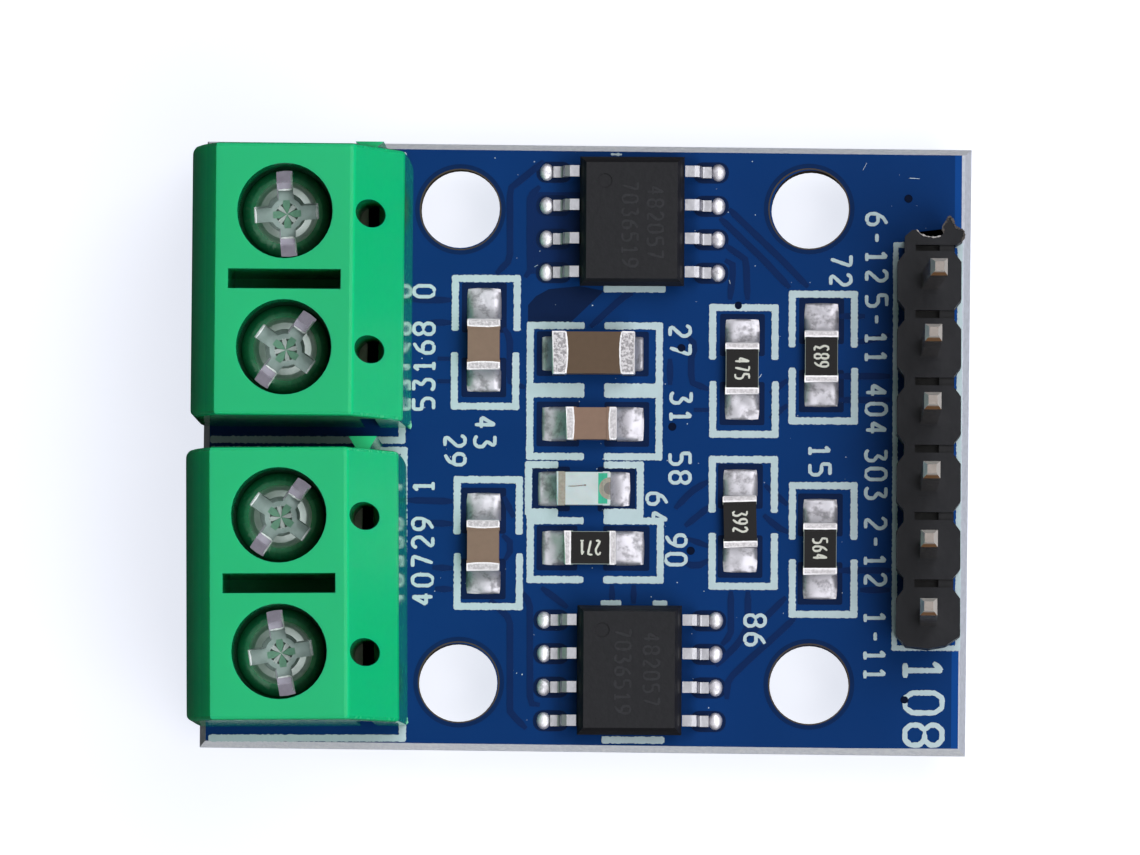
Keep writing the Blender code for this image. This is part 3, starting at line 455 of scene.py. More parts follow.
def strips_tree():
    """Node tree that lays a thin strip with slightly uneven edges along each line."""
    sockets = (
        ("Lines", "Geometry"),
        ("Width", "Float"),
        ("Rise", "Float"),
        ("Unevenness", "Float"),
        ("Tip", "Float"),
        ("Step", "Float"),
        ("Seed", "Int"),
        ("Finish", "Material"),
    )
    tree, given = new_tree("thin_strips", sockets, "Strips")
    curve = add_node(tree, "GeometryNodeMeshToCurve", {0: given["Lines"]}).outputs[0]
    corner = times(tree, given["Width"], 0.5)
    inputs = {0: curve, "Count": 3, "Radius": corner, "Limit Radius": True}
    smooth = add_node(tree, "GeometryNodeFilletCurve", inputs, mode="POLY").outputs[0]
    inputs = {0: smooth, "Length": given["Step"]}
    finer = add_node(tree, "GeometryNodeResampleCurve", inputs, mode="LENGTH").outputs[0]
    level = add_node(tree, "GeometryNodeSetCurveNormal", {0: finer}, mode="Z_UP").outputs[0]
    least = minus(tree, 1.0, given["Unevenness"])
    most = plus(tree, 1.0, given["Unevenness"])
    inputs = {2: least, 3: most, "Seed": given["Seed"]}
    spread = add_node(tree, "FunctionNodeRandomValue", inputs, data_type="FLOAT").outputs[1]
    inputs = {"Start Size": 1, "End Size": 1}
    tips = add_node(tree, "GeometryNodeCurveEndpointSelection", inputs).outputs[0]
    inputs = {"Switch": tips, "False": spread, "True": given["Tip"]}
    spread = add_node(tree, "GeometryNodeSwitch", inputs, input_type="FLOAT").outputs[0]
    inputs = {"Width": given["Width"], "Height": given["Rise"]}
    section = add_node(tree, "GeometryNodeCurvePrimitiveQuadrilateral", inputs).outputs[0]
    inputs = {0: level, "Profile Curve": section, "Scale": spread, "Fill Caps": True}
    body = add_node(tree, "GeometryNodeCurveToMesh", inputs).outputs[0]
    close_tree(tree, body, given["Finish"])
    return tree


STRIPS = strips_tree()
STRIP_TIP = 0.62
STRIP_LEVELS = 7
STRIP_LEVEL_STEP = 0.0004


def run_tree(tree, name, mesh, values, body):
    """Run a node tree on a mesh and keep what it makes as a plain piece."""
    source = bpy.data.objects.new(name, mesh)
    bpy.context.scene.collection.objects.link(source)
    modifier = source.modifiers.new(name, "NODES")
    modifier.node_group = tree
    for item in tree.interface.items_tree:
        if item.name in values:
            modifier[item.identifier] = values[item.name]
    made = source.evaluated_get(bpy.context.evaluated_depsgraph_get())
    result = bpy.data.meshes.new_from_object(made)
    bpy.data.objects.remove(source, do_unlink=True)
    bm = bmesh.new()
    bm.from_mesh(result)
    bmesh.ops.recalc_face_normals(bm, faces=bm.faces[:])
    bm.to_mesh(result)
    bm.free()
    result.shade_flat()
    piece = bpy.data.objects.new(name, result)
    bpy.context.scene.collection.objects.link(piece)
    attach(piece, body)
    return piece


def lay_lines(
    name, lines, width, rise, finish,
    unevenness=0.0, step=0.08, seed=1, face=BOARD_TOP, body="module",
):
    """Lay strips along lines, in millimetres, on the board's top or at another height.

    Each lies a hair above or below the last, so that no two faces fall into one where they cross.
    """
    mesh = bpy.data.meshes.new(name)
    points = []
    edges = []
    for index, line in enumerate(lines):
        level = face + rise / 2 - SINK + index % STRIP_LEVELS * STRIP_LEVEL_STEP
        closed = line[0] == line[-1]
        own = line[:-1] if closed else line
        start = len(points)
        points += [(x * MM, y * MM, level * MM) for x, y in own]
        edges += [(start + i, start + i + 1) for i in range(len(own) - 1)]
        if closed:
            edges.append((start + len(own) - 1, start))
    mesh.from_pydata(points, edges, [])
    values = {
        "Width": width * MM,
        "Rise": rise * MM,
        "Unevenness": unevenness,
        "Tip": STRIP_TIP,
        "Step": step * MM,
        "Seed": seed,
        "Finish": finish,
    }
    return run_tree(STRIPS, name, mesh, values, body)


def bare_finish(name, colour):
    """Mask over bare board, without copper behind it."""
    settings = {"Specular_IOR_Level": MASK_SHEEN, "Roughness": BARE_ROUGHNESS}
    material, tree, shader, place = new_finish(name, **settings)
    put(tree, shader.inputs["Base Color"], varied(tree, grain(tree, place, 700.0), colour, 0.85, 1.2))
    return material


GAP_FINISH = bare_finish("mask_over_gap", MASK_GAP)
lay_lines("copper_gaps", TRACK_GAPS, GAP_WIDTH, GAP_RISE, GAP_FINISH, unevenness=0.05, step=0.3, seed=3)
gap_field = bmesh.new()
x_low, y_low, x_high, y_high = GAP_FIELD
add_block(gap_field, (x_low, y_low, BOARD_TOP - SINK), (x_high, y_high, BOARD_TOP + SINK))
make_piece("copper_gap_fields", gap_field, GAP_FINISH)

clear_fields = bmesh.new()
fields = [(pad, PAD_CLEARANCE, CLEARING_ROUNDING) for name in PAD_REACH for pad in pads_of(name)]
fields += [(pad, LEAD_PAD_CLEARANCE, LEAD_CLEARING_ROUNDING) for pad in lead_pads()]
outlines = [NO_COPPER]
for (x_low, y_low, x_high, y_high, side), margin, radius in fields:
    outlines.append(rounded_box(x_low - margin, y_low - margin, x_high + margin, y_high + margin, radius))
for index, outline in enumerate(outlines):
    step = index * FIELD_STEP
    add_slab(clear_fields, outline, BOARD_TOP - SINK - step, BOARD_TOP + FIELD_RISE + step)
make_piece("copper_clearings", clear_fields, bare_finish("mask_over_bare_board", MASK_BARE))


# Mounting holes and vias
# The four drilled holes have a bare tan rim and a ring without copper round it. The vias are
# small plated holes under the mask, so each shows as a dark dimple.
HOLE_CENTRES = ((-4.79, 9.03), (8.43, 9.10), (-4.76, -8.90), (8.50, -8.92))

# Inner and outer radius, colour and rise of the rings round each hole
HOLE_RINGS = (
    ("hole_rim", 1.50, 1.55, (78, 70, 60), 0.012),
    ("hole_clear_ring", 1.545, 1.72, (9, 40, 86), 0.008),
)
VIA_CENTRES = ((12.19, 9.51), (3.28, 0.82), (3.61, 3.80), (4.00, -3.88), (12.12, -9.49), (5.76, 5.42))
VIA_DARK = (6, 18, 44)
VIA_RADIUS = 0.16
VIA_TAPER = 0.85
VIA_SEGMENTS = 20
PRINT_RISE = 0.022
RING_SEGMENTS = 48
NEAR_AXIS = 0.001


def add_turned(bm, x, y, profile, segments=RING_SEGMENTS, stretch=1.0):
    """Turn a closed profile of (radius, height) about an upright axis, stretched along X."""
    rings = []
    for radius, height in profile:
        ring = []
        for step in range(segments):
            angle = math.tau * step / segments
            ring.append(bm.verts.new((
                (x + radius * stretch * math.cos(angle)) * MM,
                (y + radius * math.sin(angle)) * MM,
                height * MM,
            )))
        rings.append(ring)
    for one, two in zip(rings, rings[1:] + rings[:1]):
        for step in range(segments):
            after = (step + 1) % segments
            bm.faces.new((one[step], one[after], two[after], two[step]))


def plain_finish(name, colour, spread=0.15, scale=1800.0, depth=0.0, **settings):
    """A finish of one colour with fine variation and, where it has a depth, fine relief."""
    material, tree, shader, place = new_finish(name, **settings)
    fine = grain(tree, place, scale)
    put(tree, shader.inputs["Base Color"], varied(tree, fine, colour, 1 - spread, 1 + spread))
    if depth:
        put(tree, shader.inputs["Normal"], bump(tree, fine, depth))
    return material


for ring_name, inner, outer, colour, rise in HOLE_RINGS:
    rings = bmesh.new()
    low, high = BOARD_TOP - SINK, BOARD_TOP + rise
    for x, y in HOLE_CENTRES:
        add_turned(rings, x, y, ((inner, low), (outer, low), (outer, high), (inner, high)))
    ring_finish = plain_finish(ring_name, colour, Roughness=0.4, Specular_IOR_Level=MASK_SHEEN)
    make_piece(ring_name, rings, ring_finish)

vias = bmesh.new()
low, high = BOARD_TOP - SINK, BOARD_TOP + PRINT_RISE + SINK
profile = ((NEAR_AXIS, low), (VIA_RADIUS, low), (VIA_RADIUS * VIA_TAPER, high), (NEAR_AXIS, high))
for x, y in VIA_CENTRES:
    add_turned(vias, x, y, profile, VIA_SEGMENTS)
via_mask = plain_finish("via_mask", VIA_DARK, Roughness=0.3, Specular_IOR_Level=MASK_SHEEN)
make_piece("via_dimples", vias, via_mask)


# Legend print
# White ink, screen printed on the mask: brackets round the small parts, outlines of the
# terminals and the header, and plain numbers beside them. Its edges are a little ragged.
INK_WHITE = (186, 206, 213)
LINE_WIDTH = 0.265
NUMBER_STROKE = 0.135
LARGE_STROKE = 0.20

# Brackets round the small parts, by their outer edges
BRACKETS = (
    ((-5.10, 4.42), (-5.10, 6.54), (-2.49, 6.54), (-2.49, 4.42)),
    ((-5.12, 3.61), (-5.12, 1.43), (-2.53, 1.43), (-2.53, 3.61)),
    ((-4.99, -3.30), (-4.99, -1.09), (-2.37, -1.09), (-2.37, -3.30)),
    ((-4.97, -4.01), (-4.97, -6.16), (-2.35, -6.16), (-2.35, -4.01)),
    ((4.66, 3.37), (4.66, 5.48), (7.29, 5.48), (7.29, 3.37)),
    ((4.68, 2.56), (4.68, 0.41), (7.31, 0.41), (7.31, 2.56)),
    ((7.67, 3.85), (7.67, 6.00), (10.29, 6.00), (10.29, 3.85)),
    ((7.68, 3.08), (7.68, 0.93), (10.31, 0.93), (10.31, 3.08)),
    ((4.67, -2.43), (4.67, -0.28), (7.29, -0.28), (7.29, -2.43)),
    ((4.68, -3.20), (4.68, -5.35), (7.30, -5.35), (7.30, -3.20)),
    ((7.71, -3.44), (7.71, -1.26), (10.31, -1.26), (10.31, -3.44)),
    ((7.72, -4.18), (7.72, -6.40), (10.32, -6.40), (10.32, -4.18)),
    ((-0.06, 4.77), (-2.25, 4.77), (-2.25, 1.91), (-0.06, 1.91)),
    ((0.69, 4.77), (2.91, 4.77), (2.91, 1.91), (0.69, 1.91)),
    ((-0.06, 2.45), (-2.25, 2.45), (-2.25, -0.46), (-0.06, -0.46)),
    ((0.69, 2.45), (2.91, 2.45), (2.91, -0.46), (0.69, -0.46)),
    ((-1.03, -0.51), (-2.29, -0.51), (-2.29, -2.57), (-1.03, -2.57)),
    ((0.69, -0.51), (2.21, -0.51), (2.21, -2.57), (0.69, -2.57)),
    ((-0.06, -2.63), (-2.21, -2.63), (-2.21, -5.13), (-0.06, -5.13)),
    ((0.69, -2.63), (2.98, -2.63), (2.98, -5.13), (0.69, -5.13)),
)

# Other lines of the same width, by their middles
PLAIN_LINES = (
    ((0.78, 6.04), (2.87, 6.04)),
    ((0.79, -11.06), (2.91, -11.06)),
    ((-14.1, 0.26), (-6.96, 0.26), (-6.98, 11.05), (-14.1, 11.05)),
    ((-14.1, -0.13), (-6.88, -0.13), (-6.88, -11.03), (-14.1, -11.06)),
    ((-2.10, 2.18), (-0.21, 2.18)),
    ((0.84, 2.18), (2.76, 2.18)),
    ((-2.10, -2.60), (-1.18, -2.60)),
    ((0.84, -2.60), (2.06, -2.60)),
)

# Thinner lines, and a faint short one by the upper chip
THIN_WIDTH = 0.20
THIN_LINES = (
    ((0.70, -5.87), (1.28, -5.87)),
    ((2.67, -5.87), (3.02, -5.87)),
    ((11.72, 7.75), (14.16, 7.75), (14.12, -7.53), (11.72, -7.53), (11.72, 7.75)),
)
FAINT_WIDTH = 0.10
FAINT_LINE = ((0.90, 11.15), (1.32, 11.14))

# Strokes of each figure, in a field 0.6 wide and 1 high
FIGURES = {
    "0": (
        ((0.15, 0), (0, 0.2), (0, 0.8), (0.15, 1), (0.45, 1), (0.6, 0.8), (0.6, 0.2), (0.45, 0), (0.15, 0)),
    ),
    "1": (((0.08, 0.76), (0.32, 1)), ((0.32, 1), (0.32, 0)), ((0.1, 0), (0.54, 0))),
    "2": (((0, 0.8), (0.15, 1), (0.45, 1), (0.6, 0.8), (0.6, 0.6), (0, 0), (0.6, 0)),),
    "3": (((0, 1), (0.6, 1), (0.3, 0.6), (0.6, 0.4), (0.6, 0.15), (0.45, 0), (0.15, 0), (0, 0.12)),),
    "4": (((0.42, 0), (0.42, 1)), ((0.42, 1), (0, 0.32)), ((0, 0.32), (0.6, 0.32))),
    "5": (((0.6, 1), (0, 1), (0, 0.58), (0.4, 0.58), (0.6, 0.42), (0.6, 0.15), (0.45, 0), (0, 0)),),
    "6": (
        ((0.55, 1), (0.2, 0.8), (0, 0.45), (0, 0.15), (0.15, 0), (0.45, 0)),
        ((0.45, 0), (0.6, 0.15), (0.6, 0.4), (0.45, 0.55), (0.04, 0.55)),
    ),
    "7": (((0, 1), (0.6, 1), (0.22, 0)),),
    "8": (
        ((0.15, 0.53), (0, 0.68), (0, 0.85), (0.15, 1), (0.45, 1), (0.6, 0.85), (0.6, 0.68), (0.45, 0.53)),
        (
            (0.15, 0.53), (0, 0.38), (0, 0.15), (0.15, 0), (0.45, 0),
            (0.6, 0.15), (0.6, 0.38), (0.45, 0.53), (0.15, 0.53),
        ),
    ),
    "9": (
        ((0.05, 0), (0.4, 0.2), (0.6, 0.55), (0.6, 0.85), (0.45, 1), (0.15, 1)),
        ((0.15, 1), (0, 0.85), (0, 0.6), (0.15, 0.45), (0.56, 0.45)),
    ),
    "-": (((0.08, 0.5), (0.52, 0.5)),),
    " ": (),
}
FIGURE_WIDTH = 0.6
FIGURE_ADVANCE = 1.04
FIGURE_SQUEEZE = 0.9


def written(text, x, y, height, turn, squeeze=FIGURE_SQUEEZE):
    """Lines of a row of figures, centred on a point and turned by an angle in degrees."""
    wide = height * squeeze
    length = (FIGURE_ADVANCE * (len(text) - 1) + FIGURE_WIDTH) * wide
    cosine, sine = math.cos(math.radians(turn)), math.sin(math.radians(turn))
    lines = []
    for index, figure in enumerate(text):
        for stroke in FIGURES[figure]:
            line = []
            for across, up in stroke:
                run = (FIGURE_ADVANCE * index + across) * wide - length / 2
                climb = (up - 0.5) * height
                line.append((x + run * cosine - climb * sine, y + run * sine + climb * cosine))
            lines.append(tuple(line))
    return lines


def drawn_inside(line):
    """Move a bracket from its outer edge to the middle of its stroke."""
    centre_x = (min(x for x, y in line) + max(x for x, y in line)) / 2
    centre_y = (min(y for x, y in line) + max(y for x, y in line)) / 2
    half = LINE_WIDTH / 2
    return tuple(
        (x - math.copysign(half, x - centre_x), y - math.copysign(half, y - centre_y))
        for x, y in line
    )


def straight_sides(outlines, width):
    """Each side of every outline by itself, drawn on past both ends by half a stroke."""
    sides = []
    for line in outlines:
        for (x, y), (x_next, y_next) in zip(line, line[1:]):
            length = math.hypot(x_next - x, y_next - y)
            reach_x = (x_next - x) / length * width / 2
            reach_y = (y_next - y) / length * width / 2
            sides.append(((x - reach_x, y - reach_y), (x_next + reach_x, y_next + reach_y)))
    return sides


# Text, x, y, height and turn of each mark
FIGURE_HEIGHT = 0.76
MARKS = (
    ("53168 0", -6.15, 3.78, FIGURE_HEIGHT, 90),
    ("40729 1", -6.15, -3.62, FIGURE_HEIGHT, 90),
    ("27", 3.56, 4.11, FIGURE_HEIGHT, -90),
    ("31", 3.61, 1.57, FIGURE_HEIGHT, -90),
    ("58", 3.58, -0.75, FIGURE_HEIGHT, -90),
    ("64", 2.72, -2.27, FIGURE_HEIGHT, -90),
    ("90", 3.44, -3.85, FIGURE_HEIGHT, -90),
    ("72", 9.64, 6.79, FIGURE_HEIGHT, -90),
    ("15", 8.88, -0.42, FIGURE_HEIGHT, -90),
    ("86", 6.45, -6.87, FIGURE_HEIGHT, -90),
    ("43", -3.82, 0.59, FIGURE_HEIGHT, -90),
    ("29", -4.95, -0.10, FIGURE_HEIGHT, -90),
    ("6-12", 11.0, 7.66, FIGURE_HEIGHT, -90),
    ("5-11", 11.0, 4.57, FIGURE_HEIGHT, -90),
    ("404", 11.0, 1.52, FIGURE_HEIGHT, -90),
    ("303", 11.0, -0.94, FIGURE_HEIGHT, -90),
    ("2-12", 11.0, -3.86, FIGURE_HEIGHT, -90),
    ("1-11", 11.0, -7.45, FIGURE_HEIGHT, -90),
)
LARGE_MARKS = (
    ("1", 12.84, -8.35, 1.40, -90),
    ("0", 12.84, -9.60, 1.40, -90),
    ("8", 12.84, -10.82, 1.40, -90),
)

bold_lines = list(PLAIN_LINES) + [drawn_inside(bracket) for bracket in BRACKETS]
bold_sides = straight_sides(bold_lines, LINE_WIDTH)
thin_sides = straight_sides(THIN_LINES, THIN_WIDTH)
numbers = [line for mark in MARKS for line in written(*mark)]
large_numbers = [line for mark in LARGE_MARKS for line in written(*mark)]

# Lines, stroke width, unevenness, step and seed of each printed piece
PRINT = {
    "printed_outlines": (bold_sides, LINE_WIDTH, 0.13, 0.05, 5),
    "printed_mark_by_chip": ([FAINT_LINE], FAINT_WIDTH, 0.4, 0.07, 7),
    "printed_thin_outlines": (thin_sides, THIN_WIDTH, 0.16, 0.05, 6),
    "printed_numbers": (numbers, NUMBER_STROKE, 0.10, 0.06, 8),
    "printed_large_numbers": (large_numbers, LARGE_STROKE, 0.12, 0.08, 9),
}
print_white = plain_finish("legend_ink", INK_WHITE, 0.06, 2600.0, 0.00001, Roughness=0.5)
for name, (lines, width, unevenness, step, seed) in PRINT.items():
    lay_lines(name, lines, width, PRINT_RISE, print_white, unevenness, step, seed)


# Solder
# Tin-silver solder, melted from paste onto the pads: a fillet climbs each part's end and runs
# out to the pad's edge in a bumpy heap. Each lead has a rounded toe of it in front of the foot.
PAD_THICKNESS = 0.07
LEAST_THICKNESS = 0.02
FILLET_SHARE = 0.62
HEAP_STEPS_ALONG = 12
HEAP_STEPS_ACROSS = 9
HEAP_FALL = 2.5
HEAP_ROUNDING = 0.06
RIM_POWER = 8
PAD_LAP = 0.01
SKIN_DEPTH = 0.012
SOLDER_ANGLE = 60.0

# Two layers of lumps: a level to draw them from, how close they lie, and how high they are
LUMPS = ((7.3, 1.5, 0.07), (1.7, 4.05, 0.028))


def heap_height(spot, u, v, near_height):
    """Height of the solder: u runs from -1 at the pad's end to 1 at the part, and v across."""
    height = PAD_THICKNESS + (near_height - PAD_THICKNESS) * ((u + 1) / 2) ** HEAP_FALL
    for level, scale, depth in LUMPS:
        height += noise.noise(Vector((spot.x, spot.y, level)) * scale) * depth
    rim = (1 - abs(v) ** RIM_POWER) * (1 - max(0.0, -u) ** RIM_POWER)
    return LEAST_THICKNESS + rim * max(LEAST_THICKNESS, height)


def close_heap(bm, top):
    """Skin a grid of corners, and close it with a wall down to the board and a foot."""
    last_i, last_j = HEAP_STEPS_ALONG, HEAP_STEPS_ACROSS
    outline = [(i, 0) for i in range(last_i)]
    outline += [(last_i, j) for j in range(last_j)]
    outline += [(i, last_j) for i in range(last_i, 0, -1)]
    outline += [(0, j) for j in range(last_j, 0, -1)]
    foot = []
    for i, j in outline:
        spot = top[i][j].co.copy()
        spot.z = (BOARD_TOP - SINK) * MM
        foot.append(bm.verts.new(spot))
    for i in range(last_i):
        for j in range(last_j):
            bm.faces.new((top[i][j], top[i + 1][j], top[i + 1][j + 1], top[i][j + 1]))
    for index, (i, j) in enumerate(outline):
        after = (index + 1) % len(outline)
        i_after, j_after = outline[after]
        bm.faces.new((foot[index], foot[after], top[i_after][j_after], top[i][j]))
    bm.faces.new(foot[::-1])


def add_heap(bm, pad, near_height):
    """A heap of solder on a pad, highest at the side that faces its part."""
    x_low, y_low, x_high, y_high, side = pad
    centre = Vector(((x_low + x_high) / 2, (y_low + y_high) / 2, 0.0))
    size = Vector(((x_high - x_low) / 2, (y_high - y_low) / 2, 0.0))
    along = Vector((1, 0, 0)) if side[1] == "x" else Vector((0, 1, 0))
    if side[0] == "-":
        along = -along
    across = Vector((-along.y, along.x, 0))
    length = abs(along.dot(size))
    width = abs(across.dot(size))
    top = []
    for i in range(HEAP_STEPS_ALONG + 1):
        u = 2 * i / HEAP_STEPS_ALONG - 1
        rounding = HEAP_ROUNDING if u < 0 else 0.0
        row = []
        for j in range(HEAP_STEPS_ACROSS + 1):
            v = 2 * j / HEAP_STEPS_ACROSS - 1
            spot = centre + along * (u * length * (1 - rounding * v * v))
            spot += across * (v * width * (1 - rounding * u * u))
            spot.z = BOARD_TOP + heap_height(spot, u, v, near_height)
            row.append(bm.verts.new(spot * MM))
        top.append(row)
    close_heap(bm, top)


def up_to_the_end(pad):
    """A pad cut back to where it meets its part's end."""
    x_low, y_low, x_high, y_high, side = pad
    cut = PAD_UNDER - PAD_LAP
    if side == "+x":
        return x_low, y_low, x_high - cut, y_high, side
    if side == "-x":
        return x_low + cut, y_low, x_high, y_high, side
    if side == "+y":
        return x_low, y_low, x_high, y_high - cut, side
    return x_low, y_low + cut, x_high, y_high, side


def solder_finish(name, dim, bright):
    """Bright tin with a frosted, dimpled skin, darker grey in its dips."""
    material, tree, shader, place = new_finish(name, Metallic=0.65)
    coarse = times(tree, grain(tree, place, 2600.0, 4.0), 0.7)
    skin = plus(tree, coarse, times(tree, grain(tree, place, 9000.0, 2.0), 0.3))
    clear = ramped(tree, skin, 0.34, 0.54)
    put(tree, shader.inputs["Base Color"], two_tone(tree, clear, (dim, bright)))
    put(tree, shader.inputs["Roughness"], minus(tree, 0.58, times(tree, clear, 0.10)))
    put(tree, shader.inputs["Normal"], bump(tree, skin, SKIN_DEPTH * MM))
    return material


SOLDER = solder_finish("solder", (144, 142, 148), (190, 188, 196))
pad_solder = bmesh.new()
for name in PAD_REACH:
    low, high = node_box(name)
    climb = (high.z - BOARD_TOP) * FILLET_SHARE
    for pad in pads_of(name):
        add_heap(pad_solder, up_to_the_end(pad), climb)
make_piece("solder_on_pads", pad_solder, SOLDER, angle=SOLDER_ANGLE)

# Each toe is a small dome, laid against the end of the lead's foot
TOE_PROFILE = (
    (NEAR_AXIS, 0.205), (0.12, 0.195), (0.22, 0.165), (0.29, 0.11), (0.32, 0.04), (0.33, -SINK),
    (NEAR_AXIS, -SINK),
)
TOE_SEGMENTS = 18
TOE_STRETCH = 0.82
TOE_OFFSET = 0.25
TOE_LUMP_SCALE = 2.2
TOE_LUMP_DEPTH = 0.03

# The seed fixes the lumps of the toes here, and of the cones under the board
LUMP_SEED = 3
noise.seed_set(LUMP_SEED)
toe_solder = bmesh.new()
for x_low, y_low, x_high, y_high, side in lead_pads():
    x = x_low + LEAD_PAD_REACH - TOE_OFFSET if side == "+x" else x_high - LEAD_PAD_REACH + TOE_OFFSET
    profile = [(radius, BOARD_TOP + height) for radius, height in TOE_PROFILE]
    add_turned(toe_solder, x, (y_low + y_high) / 2, profile, TOE_SEGMENTS, TOE_STRETCH)
for vertex in toe_solder.verts:
    if vertex.co.z > BOARD_TOP * MM:
        vertex.co += noise.noise_vector(vertex.co / MM * TOE_LUMP_SCALE) * TOE_LUMP_DEPTH * MM
# The toes' tin is a lighter copy of the pads' solder: painted light on the domes
TOE_TIN_PAINTED_LIGHT = solder_finish("toe_solder", (186, 184, 190), (228, 226, 234))
make_piece("solder_on_chip_pads", toe_solder, TOE_TIN_PAINTED_LIGHT, angle=SOLDER_ANGLE)


# Terminal blocks
# Two-pole screw terminals, moulded in green polyamide. They are hooked together at their sides
# and stand on the board, with the legs of their contacts through it.
GREEN = (10, 190, 122)
BLOCK_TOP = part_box("terminal_block_upper")[1].z / MM

# The front bows back from its break upwards. Its colour has painted shade towards its foot and
# painted light towards its top.
FRONT_BREAK = BOARD_TOP + 5.9
FRONT_TILT = 0.38
FRONT_DARK = BOARD_TOP + 1.6
FRONT_PAINTED_SHADE = 0.2
FRONT_PAINTED_LIGHT = 1.7

# The wells, one round each screw, and the shade down in them
POLES = [name[len("clamp_screw_"):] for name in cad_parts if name.startswith("clamp_screw_")]
WELL_BOXES = [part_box(f"clamp_screw_{pole}") for pole in POLES]
WELL_CENTRES = [((low + high) / 2)[:2] for low, high in WELL_BOXES]
WELL_REACH = 1.83
WELL_DARK = 2.0
WELL_GAIN = 0.42
# The rear bevel, which faces the lamps, is lighter: painted light
REAR_BEVEL_PAINTED_LIGHT = 1.3


def distance_from(tree, axes, x, y):
    """Distance from an upright line, in metres."""
    off_x = calc(tree, "POWER", minus(tree, axes[0], x), 2.0)
    off_y = calc(tree, "POWER", minus(tree, axes[1], y), 2.0)
    return calc(tree, "SQRT", plus(tree, off_x, off_y))


def in_wells(tree, axes):
    """How far down in a well a place is: 0 outside and at the top, 1 at the bottom."""
    nearest = 1.0
    for x, y in WELL_CENTRES:
        nearest = calc(tree, "MINIMUM", nearest, distance_from(tree, axes, x, y))
    inside = is_below(tree, nearest, WELL_REACH * MM)
    deep = minus(tree, 1.0, ramped(tree, axes[2], (BLOCK_TOP - WELL_DARK) * MM, BLOCK_TOP * MM))
    return times(tree, inside, deep)


def green_finish():
    """Satin green polyamide, with painted shade at the foot of the bowed front and painted light at its
    top, painted light on the rear bevel and painted shade down in the wells.
    """
    settings = {"Specular_IOR_Level": 0.3, "Subsurface_Weight": 0.4, "Subsurface_Scale": 0.0008}
    material, tree, shader, place = new_finish("green_polyamide", **settings)
    put(tree, shader.inputs["Subsurface Radius"], (0.2, 1.0, 0.6))
    parts = facing_parts(tree)
    axes = split(tree, place)
    green = varied(tree, grain(tree, place, 180.0), GREEN, 0.94, 1.06)
    # Painted light on the rear bevel
    rear_bevel = times(tree, ramped(tree, parts[0], 0.2, 0.5), ramped(tree, parts[2], 0.1, 0.3))
    green = mix(tree, rear_bevel, green, ink(*GREEN, REAR_BEVEL_PAINTED_LIGHT))
    # Painted shade towards the front's foot and painted light towards its top
    front = ramped(tree, times(tree, parts[0], -1.0), 0.8, 0.95)
    climb = ramped(tree, axes[2], FRONT_DARK * MM, BLOCK_TOP * MM)
    green = mix(tree, front, green, varied(tree, climb, GREEN, FRONT_PAINTED_SHADE, FRONT_PAINTED_LIGHT))
    green = mix(tree, in_wells(tree, axes), green, ink(*GREEN, WELL_GAIN))
    put(tree, shader.inputs["Base Color"], green)
    satin = times(tree, ramped(tree, calc(tree, "ABSOLUTE", parts[2]), 0.15, 0.6), 0.34)
    satin = plus(tree, satin, times(tree, front, 0.34))
    scuff = times(tree, ramped(tree, grain(tree, place, 3200.0, 5.0), 0.5, 0.7), 0.06)
    put(tree, shader.inputs["Roughness"], plus(tree, plus(tree, satin, scuff), 0.11))
    rise = ramped(tree, axes[2], FRONT_BREAK * MM, BLOCK_TOP * MM)
    curve = times(tree, times(tree, rise, FRONT_TILT), front)
    flat_part = times(tree, parts[2], minus(tree, 1.0, front))
    bowed = direction(tree, parts[0], parts[1], plus(tree, flat_part, curve))
    put(tree, shader.inputs["Normal"], bump(tree, grain(tree, place, 3000.0), 0.003 * MM, bowed))
    return material


dress(green_finish(), "terminal_block_upper", "terminal_block_lower")

# Thin flash where the mould's halves met, round the foot of each block's rear corner
FLASH_LEVEL = BOARD_TOP + 0.10
FLASH_LINES = (
    ((-6.86, 1.06), (-6.66, 1.00), (-6.60, 0.70), (-6.72, 0.74)),
    ((-6.90, -10.20), (-6.74, -10.24), (-6.68, -10.52), (-6.80, -10.48)),
)
FLASH_WIDTH = 0.09
FLASH_THICKNESS = 0.12
flash_green = plain_finish("moulding_flash", (120, 205, 170), 0.1, 2600.0, Roughness=0.3)
lay_lines(
    "moulding_flash", FLASH_LINES, FLASH_WIDTH, FLASH_THICKNESS, flash_green,
    unevenness=0.5, step=0.07, seed=12, face=FLASH_LEVEL,
)


# Clamp screws, cages and contacts
# Each pole has a plated steel screw with a combined slot and cross recess, a folded steel cage
# that the screw lifts, and a tinned brass plate that the wire is pressed against.

# The crown's top is cut away by the recess, and stood this much above what is left of it
CROWN_LOST = 0.09
SCREW_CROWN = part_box("clamp_screw_upper_1")[1].z / MM + CROWN_LOST
SLOT_FLOOR = SCREW_CROWN - 0.62
ARM_FLOOR = SCREW_CROWN - 0.90
SLOT_LEVEL = SLOT_FLOOR + 0.08
PIT_LEVEL = ARM_FLOOR + 0.08
SCREW_TURNS = {"upper_1": 3.8, "upper_2": -35.2, "lower_1": -34.5, "lower_2": 9.5}

# Colours of the plating, as pairs that its grain lies between: bright on the crown, darker round
# the recess as painted shade, and lilac on its floors, with a greenish pit that is a painted
# reflection of the green walls. The rim has painted shade and a painted green reflection of the well's
# wall.
PLATED = ((205, 214, 210), (232, 238, 236))
RECESS_PAINTED_SHADE = ((116, 124, 122), (152, 160, 158))
LILAC = ((134, 130, 144), (172, 168, 182))
PIT_PAINTED_REFLECTION = ((104, 124, 118), (150, 164, 162))
RIM_PAINTED_SHADE_AND_REFLECTION = (138, 158, 146)
RECESS_EDGE = 1.05
PLATED_FROM = 1.25
RIM_FROM = 1.15
RIM_TO = 1.62
METAL_DEPTH = 0.02
PLATING_DEPTH = 0.008


